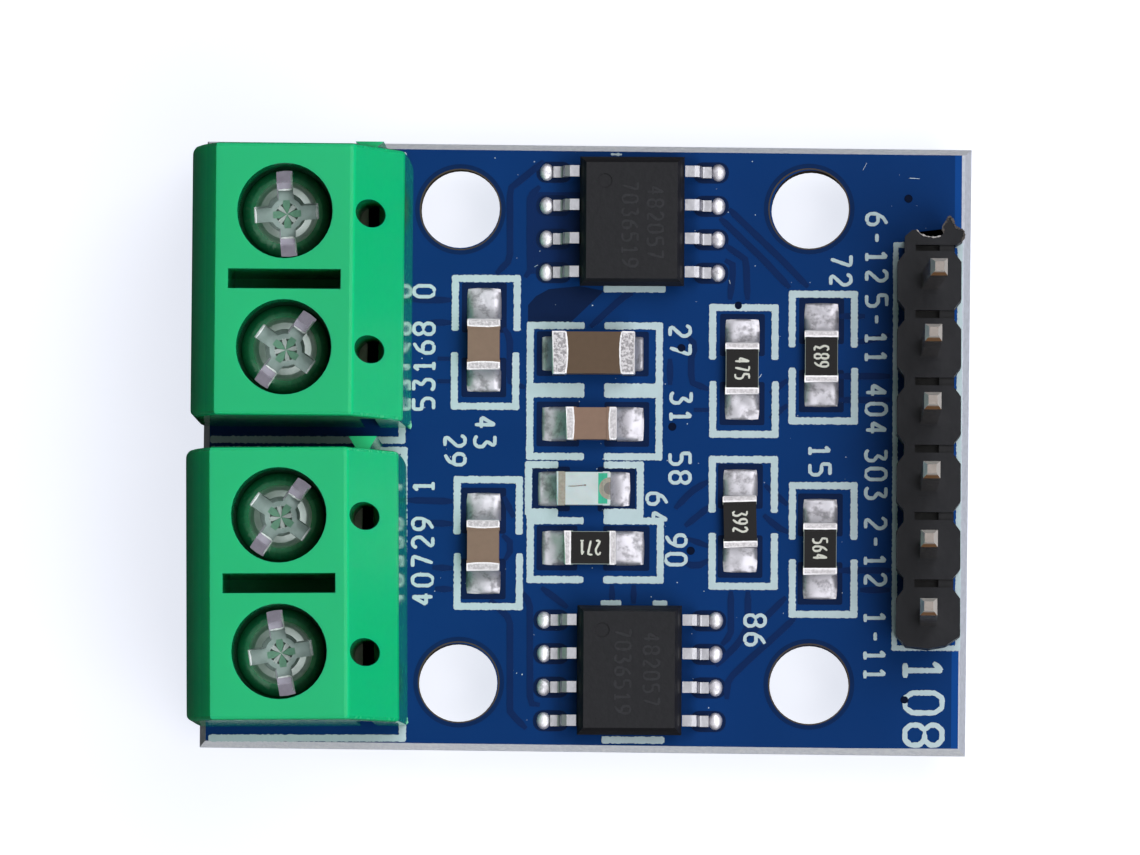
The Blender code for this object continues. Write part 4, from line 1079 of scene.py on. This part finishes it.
def metal_finish(name, colour, roughness):
    """Bright plated metal with fine unevenness in colour, gloss and surface."""
    material, tree, shader, place = new_finish(name, Metallic=1.0)
    fine = grain(tree, place, 2200.0, 4.0)
    put(tree, shader.inputs["Base Color"], varied(tree, fine, colour, 0.9, 1.05))
    put(tree, shader.inputs["Roughness"], plus(tree, roughness, times(tree, fine, 0.1)))
    put(tree, shader.inputs["Normal"], bump(tree, fine, METAL_DEPTH * MM))
    return material


def screw_finish(pole, centre):
    """Zinc plating, with painted shade round the recess, lilac in the slot, a painted green reflection in
    the pit, and painted shade and reflection out at the rim.
    """
    material, tree, shader, place = new_finish(f"zinc_plated_screw_{pole}", Metallic=1.0)
    fine = grain(tree, place, 2600.0, 4.0)
    axes = split(tree, place)
    out = distance_from(tree, axes, *centre)
    level = is_above(tree, facing_parts(tree)[2], 0.985)
    slot = times(tree, level, is_below(tree, axes[2], SLOT_LEVEL * MM))
    pit = times(tree, level, is_below(tree, axes[2], PIT_LEVEL * MM))
    rim = ramped(tree, out, RIM_FROM * MM, RIM_TO * MM)
    # Painted shade and a painted green reflection of the well's wall at the rim
    shaded = mix(tree, rim, two_tone(tree, fine, PLATED), ink(*RIM_PAINTED_SHADE_AND_REFLECTION))
    bright = ramped(tree, out, RECESS_EDGE * MM, PLATED_FROM * MM)
    # Painted shade: the plating is darker round and in the recess
    crown = mix(tree, bright, two_tone(tree, fine, RECESS_PAINTED_SHADE), shaded)
    # Painted reflection: the pit's greenish grey stands for the green walls mirrored in it
    recess = mix(tree, pit, two_tone(tree, fine, LILAC), two_tone(tree, fine, PIT_PAINTED_REFLECTION))
    put(tree, shader.inputs["Base Color"], mix(tree, slot, crown, recess))
    smooth = ramped(tree, out, RECESS_EDGE * MM, (PLATED_FROM + 0.05) * MM)
    put(tree, shader.inputs["Roughness"], minus(tree, 0.45, times(tree, smooth, 0.33)))
    put(tree, shader.inputs["Normal"], bump(tree, fine, PLATING_DEPTH * MM))
    return material


# The star's facets: angle, radius and rise of their outer corners. The kites lie on the axes.
KITE = ((-25, 0.34, 0.008), (-13, 0.54, 0.014), (13, 0.54, 0.014), (25, 0.34, 0.008))
BLADE = ((29, 0.32, 0.008), (36, 0.44, 0.012), (54, 0.44, 0.012), (61, 0.32, 0.008))
STAR_HUB = -0.004
STAR_FOOT = -0.28

# Painted highlights along edges, in a screw's own frame: the slot's two floors and the cross arms' ends
FLOOR_EDGES = (
    ((-0.26, 0.90), (0.26, 0.90), (0.26, 1.48)),
    ((0.26, -1.48), (0.26, -0.90), (-0.26, -0.90)),
)
ARM_EDGES = (
    ((1.12, 0.27), (1.12, -0.27)),
    ((-1.17, 0.27), (-1.17, -0.27)),
)
EDGE_WIDTH = 0.06
EDGE_RISE = 0.03


def add_facet(bm, centre, turn, corners):
    """One facet of the star as a small closed wedge, from the hub outwards."""
    spots = [Vector((*centre, (ARM_FLOOR + STAR_HUB) * MM))]
    for angle, radius, rise in corners:
        way = math.radians(angle + turn)
        across = Vector((math.cos(way), math.sin(way), 0.0)) * radius * MM
        spots.append(Vector((*centre, (ARM_FLOOR + rise) * MM)) + across)
    top = [bm.verts.new(spot) for spot in spots]
    foot = [bm.verts.new((spot.x, spot.y, (ARM_FLOOR + STAR_FOOT) * MM)) for spot in spots]
    for index in range(1, len(top) - 1):
        bm.faces.new((top[0], top[index], top[index + 1]))
        bm.faces.new((foot[0], foot[index + 1], foot[index]))
    for index in range(len(top)):
        after = (index + 1) % len(top)
        bm.faces.new((top[index], foot[index], foot[after], top[after]))


def turned_about(centre, turn, lines):
    """Lines in a screw's own frame, in millimetres, set in their place."""
    cosine, sine = math.cos(math.radians(turn)), math.sin(math.radians(turn))
    x_middle, y_middle = centre[0] / MM, centre[1] / MM
    return [
        [(x_middle + x * cosine - y * sine, y_middle + x * sine + y * cosine) for x, y in line]
        for line in lines
    ]


# The cage's and the contact's metal is dark, as painted shade inside the housing
cage_steel_in_shade = metal_finish("folded_cage_steel_painted_shade", (112, 112, 108), 0.34)
dress(cage_steel_in_shade, *[f"clamp_cage_{pole}" for pole in POLES])
contact_tin_in_shade = metal_finish("tinned_contact_painted_shade", (124, 124, 112), 0.32)
dress(contact_tin_in_shade, *[f"terminal_contact_{pole}" for pole in POLES])

# What stands in the recess: its name, its corners and its metal, then its lines and their level
star_metal = {"Metallic": 0.5, "Roughness": 0.4}
# The kites' green is a painted reflection of the well's green walls
STAR = {
    "kites": (KITE, plain_finish("star_kites", (88, 132, 110), 0.2, 5200.0, 0.00001, **star_metal)),
    "blades": (BLADE, plain_finish("star_blades", (158, 168, 166), 0.25, 5200.0, 0.00001, **star_metal)),
}
EDGES = {"slot": (FLOOR_EDGES, SLOT_FLOOR), "arm": (ARM_EDGES, ARM_FLOOR)}
# These strips are painted highlights on the recess's edges
edge_highlight_metal = plain_finish("painted_edge_highlights", (244, 248, 250), 0.05, 4200.0, Metallic=0.2, Roughness=0.35)
for pole, centre in zip(POLES, WELL_CENTRES):
    body = f"screw_{pole}"
    turn = SCREW_TURNS[pole]
    dress(screw_finish(pole, centre), f"clamp_screw_{pole}")
    for label, (corners, metal) in STAR.items():
        facets = bmesh.new()
        for quarter in range(4):
            add_facet(facets, centre, turn + 90 * quarter, corners)
        make_piece(f"screw_{label}_{pole}", facets, metal, body, angle=5.0)
    for label, (lines, floor) in EDGES.items():
        placed = turned_about(centre, turn, lines)
        lay_lines(
            f"screw_{label}_edges_{pole}", placed, EDGE_WIDTH, EDGE_RISE, edge_highlight_metal,
            unevenness=0.3, step=0.1, seed=4, face=floor, body=body,
        )


# Driver chips
# Two eight-lead chips, moulded in matt black epoxy. Their tinned gull-wing leads are soldered
# flat to the board, and numbers are faintly marked on top by laser.
CHIP_BLACK = (31, 31, 35)
LASER_GREY = (51, 51, 55)
MARK_STROKE = 0.09
MARK_RISE = 0.006
epoxy_gloss = {"Roughness": 0.5, "Specular_IOR_Level": 0.15}
chip_epoxy = plain_finish("chip_epoxy", CHIP_BLACK, 0.22, 5200.0, 0.00001, **epoxy_gloss)
dress(chip_epoxy, "driver_chip_upper", "driver_chip_lower")

# Text, x, y, height and turn of each number
CHIP_MARKS = (
    ("7036519", 1.66, 8.40, 0.58, -90),
    ("482057", 2.62, 8.48, 0.58, -90),
    ("7036519", 1.47, -8.50, 0.58, -90),
    ("482057", 2.55, -8.42, 0.58, -90),
)
CHIP_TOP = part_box("driver_chip_upper")[1].z / MM
laser_grey = plain_finish("laser_mark", LASER_GREY, 0.3, 5200.0, Roughness=0.6, Specular_IOR_Level=0.1)
chip_numbers = [line for mark in CHIP_MARKS for line in written(*mark, squeeze=0.8)]
lay_lines(
    "chip_numbers", chip_numbers, MARK_STROKE, MARK_RISE, laser_grey,
    unevenness=0.3, step=0.08, seed=21, face=CHIP_TOP,
)
dress(metal_finish("tinned_leads", (160, 160, 166), 0.36), *lead_names("left"), *lead_names("right"))


# Two-ended parts
# Ceramic capacitors and resistors with tinned ends, soldered flat. The resistors have a black
# glaze; the capacitors are bare brown ceramic.
CAP_RAGGED = 0.03
CAP_EDGE = 0.01
# The tinned ends have a painted highlight of this width round their edges
CAP_HIGHLIGHT_WIDTH = 0.04
CAP_GLOSS = 0.34
# Colour of that painted highlight, and of the dull field inside it
TIN_PAINTED_HIGHLIGHT = (222, 220, 224)
TIN_FIELD = (198, 195, 199)
SPECKLE_SCALE = 11000.0
SPECKLE_DEPTH = 0.01
GLAZE_INSET = 0.045
CERAMIC_GLOSS = 0.45


def two_ended_finish(name, body_colour, rim_colour, cap, bulge, grit, gloss, skew=0.0):
    """Tinned ends with a painted highlight round their edges about a dull field, on a body of ceramic or
    glaze.
    """
    low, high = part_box(name)
    half_length = max(high.x - low.x, high.y - low.y) / 2
    half_width = min(high.x - low.x, high.y - low.y) / 2
    angle = math.radians(skew if along_x(name) else skew + 90)
    material, tree, shader, place = new_finish(f"{name}_finish", Specular_IOR_Level=0.2)
    inputs = {"Vector": place, "Location": (low + high) / 2, "Rotation": (0.0, 0.0, angle)}
    axes = split(tree, add_node(tree, "ShaderNodeMapping", inputs, vector_type="TEXTURE").outputs[0])
    along = calc(tree, "ABSOLUTE", axes[0])
    aside = calc(tree, "ABSOLUTE", axes[1])
    ragged = times(tree, minus(tree, grain(tree, place, 4500.0), 0.5), CAP_RAGGED * MM)
    side = calc(tree, "POWER", calc(tree, "DIVIDE", aside, half_width), 2.0)
    swell = times(tree, minus(tree, 1.0, side), bulge * MM)
    reach = plus(tree, along, plus(tree, swell, ragged))
    limit = half_length - cap * MM
    end = ramped(tree, reach, limit - CAP_EDGE * MM, limit + CAP_EDGE * MM)
    from_side = minus(tree, half_width, aside)
    from_end = calc(tree, "MINIMUM", minus(tree, half_length, along), minus(tree, reach, limit))
    from_rim = calc(tree, "MINIMUM", from_side, from_end)
    field = ramped(tree, from_rim, CAP_HIGHLIGHT_WIDTH * MM, CAP_HIGHLIGHT_WIDTH * MM * 1.8)
    body = varied(tree, grain(tree, place, 4200.0, 4.0), body_colour, 0.9, 1.08)
    rim = ramped(tree, from_side, GLAZE_INSET * MM, GLAZE_INSET * MM * 0.6)
    body = mix(tree, rim, body, ink(*rim_colour))
    speckles = grain(tree, place, SPECKLE_SCALE, 4.0)
    pitted = [value - grit for value in TIN_FIELD]
    dull = two_tone(tree, ramped(tree, speckles, 0.42, 0.6), (pitted, TIN_FIELD))
    tin = mix(tree, field, ink(*TIN_PAINTED_HIGHLIGHT), dull)
    put(tree, shader.inputs["Base Color"], mix(tree, end, body, tin))
    put(tree, shader.inputs["Metallic"], times(tree, end, 0.85))
    put(tree, shader.inputs["Roughness"], minus(tree, gloss, times(tree, end, gloss - CAP_GLOSS)))
    put(tree, shader.inputs["Normal"], bump(tree, times(tree, speckles, end), SPECKLE_DEPTH * MM))
    return material


# Body colour, width of the tinned ends, how far their middles swell towards the body, and grit
CAPACITORS = {
    "capacitor_left_upper": ((136, 112, 98), 0.29, 0.04, 22),
    "capacitor_left_lower": ((136, 112, 98), 0.29, 0.04, 22),
    "capacitor_large": ((96, 76, 61), 0.54, 0.07, 56),
    "capacitor_middle": ((141, 113, 99), 0.29, 0.04, 22),
}
for name, (colour, cap, bulge, grit) in CAPACITORS.items():
    dress(two_ended_finish(name, colour, colour, cap, bulge, grit, CERAMIC_GLOSS), name)

# Number on each resistor, how far round it reads, and how askew the resistor lies
RESISTORS = {
    "resistor_led": ("271", 180, 0.0),
    "resistor_upper_1": ("475", -90, 0.0),
    "resistor_upper_2": ("683", 90, 0.0),
    "resistor_lower_1": ("392", -88.5, 1.5),
    "resistor_lower_2": ("564", -90, 0.0),
}
GLAZE = (22, 20, 21)
GLAZE_RIM = (150, 162, 158)
GLAZE_GLOSS = 0.35
GLAZE_CAP = 0.26
GLAZE_GRIT = 22
DIGIT_HEIGHT = 0.53
DIGIT_STROKE = 0.085
DIGIT_RISE = 0.008
resistor_white = plain_finish("resistor_figures", (214, 214, 206), 0.06, 2600.0, Roughness=0.5)
for name, (digits, turn, skew) in RESISTORS.items():
    glazed = two_ended_finish(name, GLAZE, GLAZE_RIM, GLAZE_CAP, 0.0, GLAZE_GRIT, GLAZE_GLOSS, skew)
    dress(glazed, name)
    low, high = node_box(name)
    middle = (low + high) / 2
    figures = written(digits, middle.x, middle.y, DIGIT_HEIGHT, turn, squeeze=0.55)
    lay_lines(
        f"{name}_figures", figures, DIGIT_STROKE, DIGIT_RISE, resistor_white,
        unevenness=0.1, step=0.08, seed=31, face=high.z,
    )


# Indicator light
# A small surface-mounted light: milky clear resin, cast over a tiny die on a white base, whose
# tinned ends are soldered to its two pads.
MILKY = ((190, 203, 206), (222, 230, 234))
BEIGE = ((140, 134, 124), (186, 180, 168))
TEAL = ((44, 170, 138), (70, 196, 164))
END_NOTCH_GREY = (128, 124, 122)

# A beige band runs from the first to the second of these, from the left end
BAND_FROM = 0.07
BAND_TO = 0.34

# The right end: its length, its pale border at the end and the sides, and its two rings' radii
END_LENGTH = 0.47
END_BORDER = 0.10
SIDE_BORDER = 0.06
RING_SETBACK = 0.02
RING_OUTER = 0.42
RING_INNER = 0.24


def lens_finish():
    """Milky resin, with a beige left end and teal corners at the right end."""
    low, high = node_box("indicator_led")
    middle = (low.y + high.y) / 2 * MM
    ring_x = (high.x - RING_SETBACK) * MM
    settings = {"Roughness": 0.2, "Subsurface_Weight": 0.3, "Subsurface_Scale": 0.0004}
    material, tree, shader, place = new_finish("milky_lens", **settings)
    axes = split(tree, place)
    band = is_below(tree, axes[0], (low.x + BAND_TO) * MM)
    band = times(tree, band, is_above(tree, axes[0], (low.x + BAND_FROM) * MM))
    right = is_above(tree, axes[0], (high.x - END_LENGTH) * MM)
    clouds = grain(tree, place, 1500.0)
    milky = two_tone(tree, clouds, MILKY)
    beige = two_tone(tree, grain(tree, place, 9000.0), BEIGE)
    aside = calc(tree, "ABSOLUTE", minus(tree, axes[1], middle))
    pale = is_above(tree, aside, ((high.y - low.y) / 2 - SIDE_BORDER) * MM)
    pale = calc(tree, "MAXIMUM", pale, is_above(tree, axes[0], ring_x - END_BORDER * MM))
    end = mix(tree, pale, two_tone(tree, clouds, TEAL), milky)
    away = distance_from(tree, axes, ring_x, middle)
    end = mix(tree, is_below(tree, away, RING_OUTER * MM), end, beige)
    end = mix(tree, is_below(tree, away, RING_INNER * MM), end, ink(*END_NOTCH_GREY))
    put(tree, shader.inputs["Base Color"], mix(tree, right, mix(tree, band, milky, beige), end))
    return material


dress(lens_finish(), "indicator_led")

# The tiny die and its bond wire, which show through the resin
LED_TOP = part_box("indicator_led")[1].z / MM
BOND_WIRE = ((-0.64, -1.48), (-0.40, -1.48), (-0.02, -1.44))
DIE = ((-0.04, -1.44), (0.04, -1.44))
die_grey = plain_finish("led_die", (128, 116, 108), 0.1, 5200.0, Roughness=0.4)
for name, line, width, rise in (("led_bond_wire", BOND_WIRE, 0.028, 0.006), ("led_die", DIE, 0.08, 0.008)):
    lay_lines(name, [line], width, rise, die_grey, unevenness=0.1, step=0.08, seed=2, face=LED_TOP)


# Pin header
# Six square pins of tin-plated brass, pressed into a black moulded strip. The strip was snapped
# off a longer one, so that its upper end is torn.
HEADER_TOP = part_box("pin_header")[1].z / MM
HEADER_BLACK = ((14, 15, 20), (21, 22, 28))
# The notches are painted blacker, as shade down in them
NOTCH_PAINTED_SHADE = (6, 6, 7)
NOTCH_FROM = 0.35
NOTCH_TO = 0.02

# The pins: plated, with a paler tip that is brown low on its near side, where it was sheared
PIN_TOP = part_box("header_pin_1")[1].z / MM
TIP_LENGTH = 0.5
SHEAR_FROM = 0.20
SHEAR_TO = 0.04
PIN_TIN = ((200, 192, 186), (232, 224, 218))
TIP_TIN = ((150, 142, 136), (186, 176, 170))
BURR = (236, 230, 226)
SHEARED_BRASS = (158, 118, 84)


def header_finish():
    """Black plastic with a fine grain, with painted shade down in the notches."""
    settings = {"Roughness": 0.4, "Specular_IOR_Level": 0.2}
    material, tree, shader, place = new_finish("header_plastic", **settings)
    height = split(tree, place)[2]
    raised = ramped(tree, height, (HEADER_TOP - NOTCH_FROM) * MM, (HEADER_TOP - NOTCH_TO) * MM)
    black = two_tone(tree, grain(tree, place, 2600.0), HEADER_BLACK)
    put(tree, shader.inputs["Base Color"], mix(tree, raised, ink(*NOTCH_PAINTED_SHADE), black))
    put(tree, shader.inputs["Normal"], bump(tree, grain(tree, place, 900.0), 0.03 * MM))
    return material


def pin_finish():
    """Tin plating, with a burred pale tip that shows brass on the side where it was sheared."""
    material, tree, shader, place = new_finish("tin_plated_pin", Roughness=0.16)
    height = split(tree, place)[2]
    parts = facing_parts(tree)
    tip = is_above(tree, height, (PIN_TOP - TIP_LENGTH) * MM)
    sloped = is_below(tree, parts[2], 0.9)
    foot = ramped(tree, height, (PIN_TOP - SHEAR_TO) * MM, (PIN_TOP - SHEAR_FROM) * MM)
    sheared = times(tree, is_below(tree, parts[1], -0.4), foot)
    fine = grain(tree, place, 5200.0, 4.0)
    burred = mix(tree, sheared, ink(*BURR), ink(*SHEARED_BRASS))
    end = mix(tree, sloped, two_tone(tree, fine, TIP_TIN), burred)
    put(tree, shader.inputs["Base Color"], mix(tree, tip, two_tone(tree, fine, PIN_TIN), end))
    put(tree, shader.inputs["Metallic"], minus(tree, 1.0, times(tree, tip, 0.75)))
    put(tree, shader.inputs["Normal"], bump(tree, fine, 0.01 * MM))
    return material


HEADER_PLASTIC = header_finish()
dress(HEADER_PLASTIC, "pin_header")
pins = [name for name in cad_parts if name.startswith("header_pin_")]
dress(pin_finish(), *pins)

# A raised collar of the same plastic round each pin's foot, and a step in the notch beside it
PIN_PITCH = 2.54
PIN_FEET_X = 12.98
FIRST_PIN_Y = 6.27
PIN_FEET_Y = [FIRST_PIN_Y - PIN_PITCH * index for index in range(len(pins))]
COLLAR_HALF = 0.44
COLLAR_RISE = 0.015
STEP_LEFT = 13.36
STEP_RIGHT = 13.93
STEP_HALF = 0.18
STEP_BOTTOM = HEADER_TOP - 0.7
STEP_TOP = HEADER_TOP - 0.16
collars = bmesh.new()
for y in PIN_FEET_Y:
    low = (PIN_FEET_X - COLLAR_HALF, y - COLLAR_HALF, HEADER_TOP - SINK)
    high = (PIN_FEET_X + COLLAR_HALF, y + COLLAR_HALF, HEADER_TOP + COLLAR_RISE)
    add_block(collars, low, high)
    notch = y + PIN_PITCH / 2
    low = (STEP_LEFT, notch - STEP_HALF, STEP_BOTTOM)
    high = (STEP_RIGHT, notch + STEP_HALF, STEP_TOP)
    add_block(collars, low, high)
make_piece("pin_collars", collars, HEADER_PLASTIC)

# The torn skin at the end where the strip was snapped off a longer one
TORN_EDGE = (
    (12.22, 8.02), (12.29, 8.17), (12.49, 8.19), (12.63, 8.03), (12.85, 7.94), (13.17, 7.90), (13.40, 7.96),
    (13.51, 8.06), (13.46, 8.31), (13.62, 8.53), (13.73, 8.74), (13.85, 8.54), (13.96, 8.29), (14.26, 8.17),
    (14.29, 7.95), (14.18, 7.74),
)
TORN_BACK = ((14.0, 7.62), (12.3, 7.62))
TORN_LOW = BOARD_TOP + 0.9
TORN_TOP = HEADER_TOP - 0.01
RIM_LEVEL = HEADER_TOP - 0.02
torn = bmesh.new()
add_slab(torn, TORN_EDGE + TORN_BACK, TORN_LOW, TORN_TOP)
bmesh.ops.triangulate(torn, faces=torn.faces[:])
make_piece("torn_skin", torn, HEADER_PLASTIC, angle=20.0)
torn_pale = plain_finish("torn_plastic", (176, 172, 172), 0.4, 5200.0, 0.00003, Roughness=0.7)
torn_dark = plain_finish("torn_plastic_dark", (70, 64, 62), 0.5, 5200.0, 0.00003, Roughness=0.7)
lay_lines(
    "torn_fibres", [TORN_EDGE[2:7]], 0.045, 0.05, torn_pale,
    unevenness=0.8, step=0.04, seed=17, face=RIM_LEVEL,
)
lay_lines(
    "torn_rim", [TORN_EDGE[7:]], 0.07, 0.06, torn_dark,
    unevenness=0.8, step=0.04, seed=18, face=RIM_LEVEL,
)


# Solder under the board
# The pins and the terminals' legs stick out below the board. Each is held there by a cone of
# tin solder, drawn up round it from its pad.
CONE_PROFILE = (
    (NEAR_AXIS, -1.15), (0.30, -1.12), (0.36, -0.8), (0.50, -0.4), (0.78, -0.08), (0.86, SINK),
    (NEAR_AXIS, SINK),
)
CONE_SEGMENTS = 28
CONE_LUMP_SCALE = 1.3
CONE_LUMP_DEPTH = 0.04
LEG_SETBACK = 0.30
LEG_STRETCH = 1.3
cones = bmesh.new()
for y in PIN_FEET_Y:
    add_turned(cones, PIN_FEET_X, y, CONE_PROFILE, CONE_SEGMENTS)
for pole in POLES:
    low, high = node_box(f"terminal_contact_{pole}")
    middle = (low.y + high.y) / 2
    add_turned(cones, high.x - LEG_SETBACK, middle, CONE_PROFILE, CONE_SEGMENTS, LEG_STRETCH)
for vertex in cones.verts:
    vertex.co += noise.noise_vector(vertex.co / MM * CONE_LUMP_SCALE) * CONE_LUMP_DEPTH * MM
make_piece("solder_cones", cones, SOLDER, angle=SOLDER_ANGLE)


# Dust
# Fine white specks and a few short fibres that settled on the board, as in the photograph. They
# lie loose on the mask.
DUST_WHITE = (206, 222, 232)
SPECKS_PER_SQUARE_MM = 0.45
SPECK_RADIUS = 0.017
SPECK_SEED = 6
SPECK_LEAST = (0.4, 0.4, 0.3)
SPECK_MOST = (1.9, 1.5, 0.6)
LINT_WIDTH = 0.016
LINT_RISE = 0.02

# Corners of the patches of bare board that the specks lie on
DUSTY_PATCHES = (
    (-2.9, -11.0, 6.6, 11.0),
    (6.7, -6.9, 11.3, 7.0),
    (-6.3, -6.9, -3.0, 7.0),
    (10.4, 8.2, 13.9, 11.1),
    (-6.4, 10.7, -3.0, 11.2),
)
LINT = (
    ((6.46, 2.60), (6.58, 2.70), (6.66, 2.84)),
    ((9.34, 3.80), (9.38, 3.72), (9.36, 3.62)),
    ((-1.98, 6.86), (-1.84, 6.94)),
    ((10.46, 10.58), (10.60, 10.86)),
    ((12.20, 10.29), (12.62, 10.27)),
    ((5.40, 6.42), (5.46, 6.22)),
)


def specks_tree():
    """Node tree that strews small flattened grains over a surface."""
    sockets = (
        ("Surface", "Geometry"),
        ("Density", "Float"),
        ("Radius", "Float"),
        ("Seed", "Int"),
        ("Finish", "Material"),
    )
    tree, given = new_tree("dust_specks", sockets, "Specks")
    inputs = {0: given["Surface"], "Density": given["Density"], "Seed": given["Seed"]}
    points = add_node(tree, "GeometryNodeDistributePointsOnFaces", inputs).outputs[0]
    inputs = {"Radius": given["Radius"], "Subdivisions": 1}
    speck = add_node(tree, "GeometryNodeMeshIcoSphere", inputs).outputs[0]
    inputs = {0: SPECK_LEAST, 1: SPECK_MOST, "Seed": given["Seed"]}
    size = add_node(tree, "FunctionNodeRandomValue", inputs, data_type="FLOAT_VECTOR").outputs[0]
    inputs = {"Points": points, "Instance": speck, "Scale": size}
    strewn = add_node(tree, "GeometryNodeInstanceOnPoints", inputs).outputs[0]
    close_tree(tree, strewn, given["Finish"])
    return tree


patches = bpy.data.meshes.new("dusty_patches")
corners = []
level = (BOARD_TOP + SINK) * MM
for x_low, y_low, x_high, y_high in DUSTY_PATCHES:
    patch = ((x_low, y_low), (x_high, y_low), (x_high, y_high), (x_low, y_high))
    corners += [(x * MM, y * MM, level) for x, y in patch]
patches.from_pydata(corners, [], [range(i, i + 4) for i in range(0, len(corners), 4)])
dust_white = plain_finish("dust", DUST_WHITE, 0.1, 5200.0, Roughness=0.8)
values = {
    "Density": SPECKS_PER_SQUARE_MM / MM ** 2,
    "Radius": SPECK_RADIUS * MM,
    "Seed": SPECK_SEED,
    "Finish": dust_white,
}
run_tree(specks_tree(), "dust_specks", patches, values, "module")
lay_lines("lint", LINT, LINT_WIDTH, LINT_RISE, dust_white, unevenness=0.5, step=0.08, seed=9)


# Studio
# The board stands on its solder legs on a pale floor, under two large soft lamps that both hang
# to its right, so that what faces left stays dark.
FLOOR_LEVEL = -1.5
FLOOR_HALF = 450.0
FLOOR_DEPTH = 2.0
PAPER = ((162, 162, 164), (168, 168, 170))
PAPER_AS_LIGHT = (80, 80, 82)
PAPER_GLOW = (240, 244, 255)
LAMPS = {
    "near_lamp": Vector((0.248, -0.276, 0.594)),
    "far_lamp": Vector((0.238, 0.284, 0.594)),
}
LAMP_SIZE = 0.46
LAMP_POWER = 2.5

# The camera hangs 0.55 m above the board, nearly upright, with a long lens
CAMERA_PLACE = (0.0082948, -0.0238934, 0.550002)
CAMERA_TURN = (0.0450234, 0.0159720, 0.0052791)
CAMERA_LENS = 457.6
CAMERA_SENSOR = 36.0


def add_lamp(name, place):
    """A square soft lamp that looks at the board."""
    lamp = bpy.data.lights.new(name, "AREA")
    lamp.shape = "SQUARE"
    lamp.size = LAMP_SIZE
    lamp.energy = LAMP_POWER
    item = bpy.data.objects.new(name, lamp)
    item.location = place
    item.rotation_euler = (-place).to_track_quat("-Z", "Y").to_euler()
    item.visible_camera = False
    bpy.context.scene.collection.objects.link(item)


def floor_finish():
    """Paper that is white to the camera and lights next to nothing from below."""
    settings = {"Roughness": 0.9, "Specular_IOR_Level": 0.0, "Emission_Color": ink(*PAPER_GLOW)}
    material, tree, shader, place = new_finish("studio_floor", **settings)
    seen = add_node(tree, "ShaderNodeLightPath", {}).outputs["Is Camera Ray"]
    paper = two_tone(tree, grain(tree, place, 40.0), PAPER)
    put(tree, shader.inputs["Base Color"], mix(tree, seen, ink(*PAPER_AS_LIGHT), paper))
    put(tree, shader.inputs["Emission Strength"], times(tree, seen, 0.86))
    return material


def white_world():
    """White behind the object, bright above and to the right in mirrors, and dim as a light."""
    world = bpy.data.worlds.new("studio_world")
    bpy.context.scene.world = world
    world.use_nodes = True
    tree = world.node_tree
    back = tree.nodes["Background"]
    back.inputs["Color"].default_value = (1.0, 1.0, 1.0, 1.0)
    path = add_node(tree, "ShaderNodeLightPath", {}).outputs
    axes = split(tree, add_node(tree, "ShaderNodeTexCoord", {}).outputs["Generated"])
    right = plus(tree, times(tree, ramped(tree, axes[0], -0.7, 0.1), 0.65), 0.35)
    overhead = times(tree, ramped(tree, axes[2], 0.86, 0.97), 0.35)
    sky = minus(tree, ramped(tree, axes[2], 0.05, 0.55), overhead)
    mirrored = calc(tree, "MAXIMUM", path["Is Glossy Ray"], path["Is Transmission Ray"])
    fill = plus(tree, times(tree, ramped(tree, axes[0], -0.3, 0.5), 0.22), 0.04)
    dim = times(tree, minus(tree, 1.0, mirrored), fill)
    light = plus(tree, dim, times(tree, mirrored, times(tree, sky, right)))
    put(tree, back.inputs["Strength"], calc(tree, "MAXIMUM", light, path["Is Camera Ray"]))


floor_mesh = bmesh.new()
low = (-FLOOR_HALF, -FLOOR_HALF, FLOOR_LEVEL - FLOOR_DEPTH)
high = (FLOOR_HALF, FLOOR_HALF, FLOOR_LEVEL)
add_block(floor_mesh, low, high)
floor = make_piece("studio_floor", floor_mesh, floor_finish(), body=None)
for name, place in LAMPS.items():
    add_lamp(name, place)
white_world()

camera_data = bpy.data.cameras.new("camera")
camera_data.sensor_width = CAMERA_SENSOR
camera_data.lens = CAMERA_LENS
camera_data.clip_start = 0.01
camera = bpy.data.objects.new("camera", camera_data)
camera.location = CAMERA_PLACE
camera.rotation_euler = CAMERA_TURN
bpy.context.scene.collection.objects.link(camera)
bpy.context.scene.camera = camera
bpy.context.scene.view_settings.view_transform = "Standard"
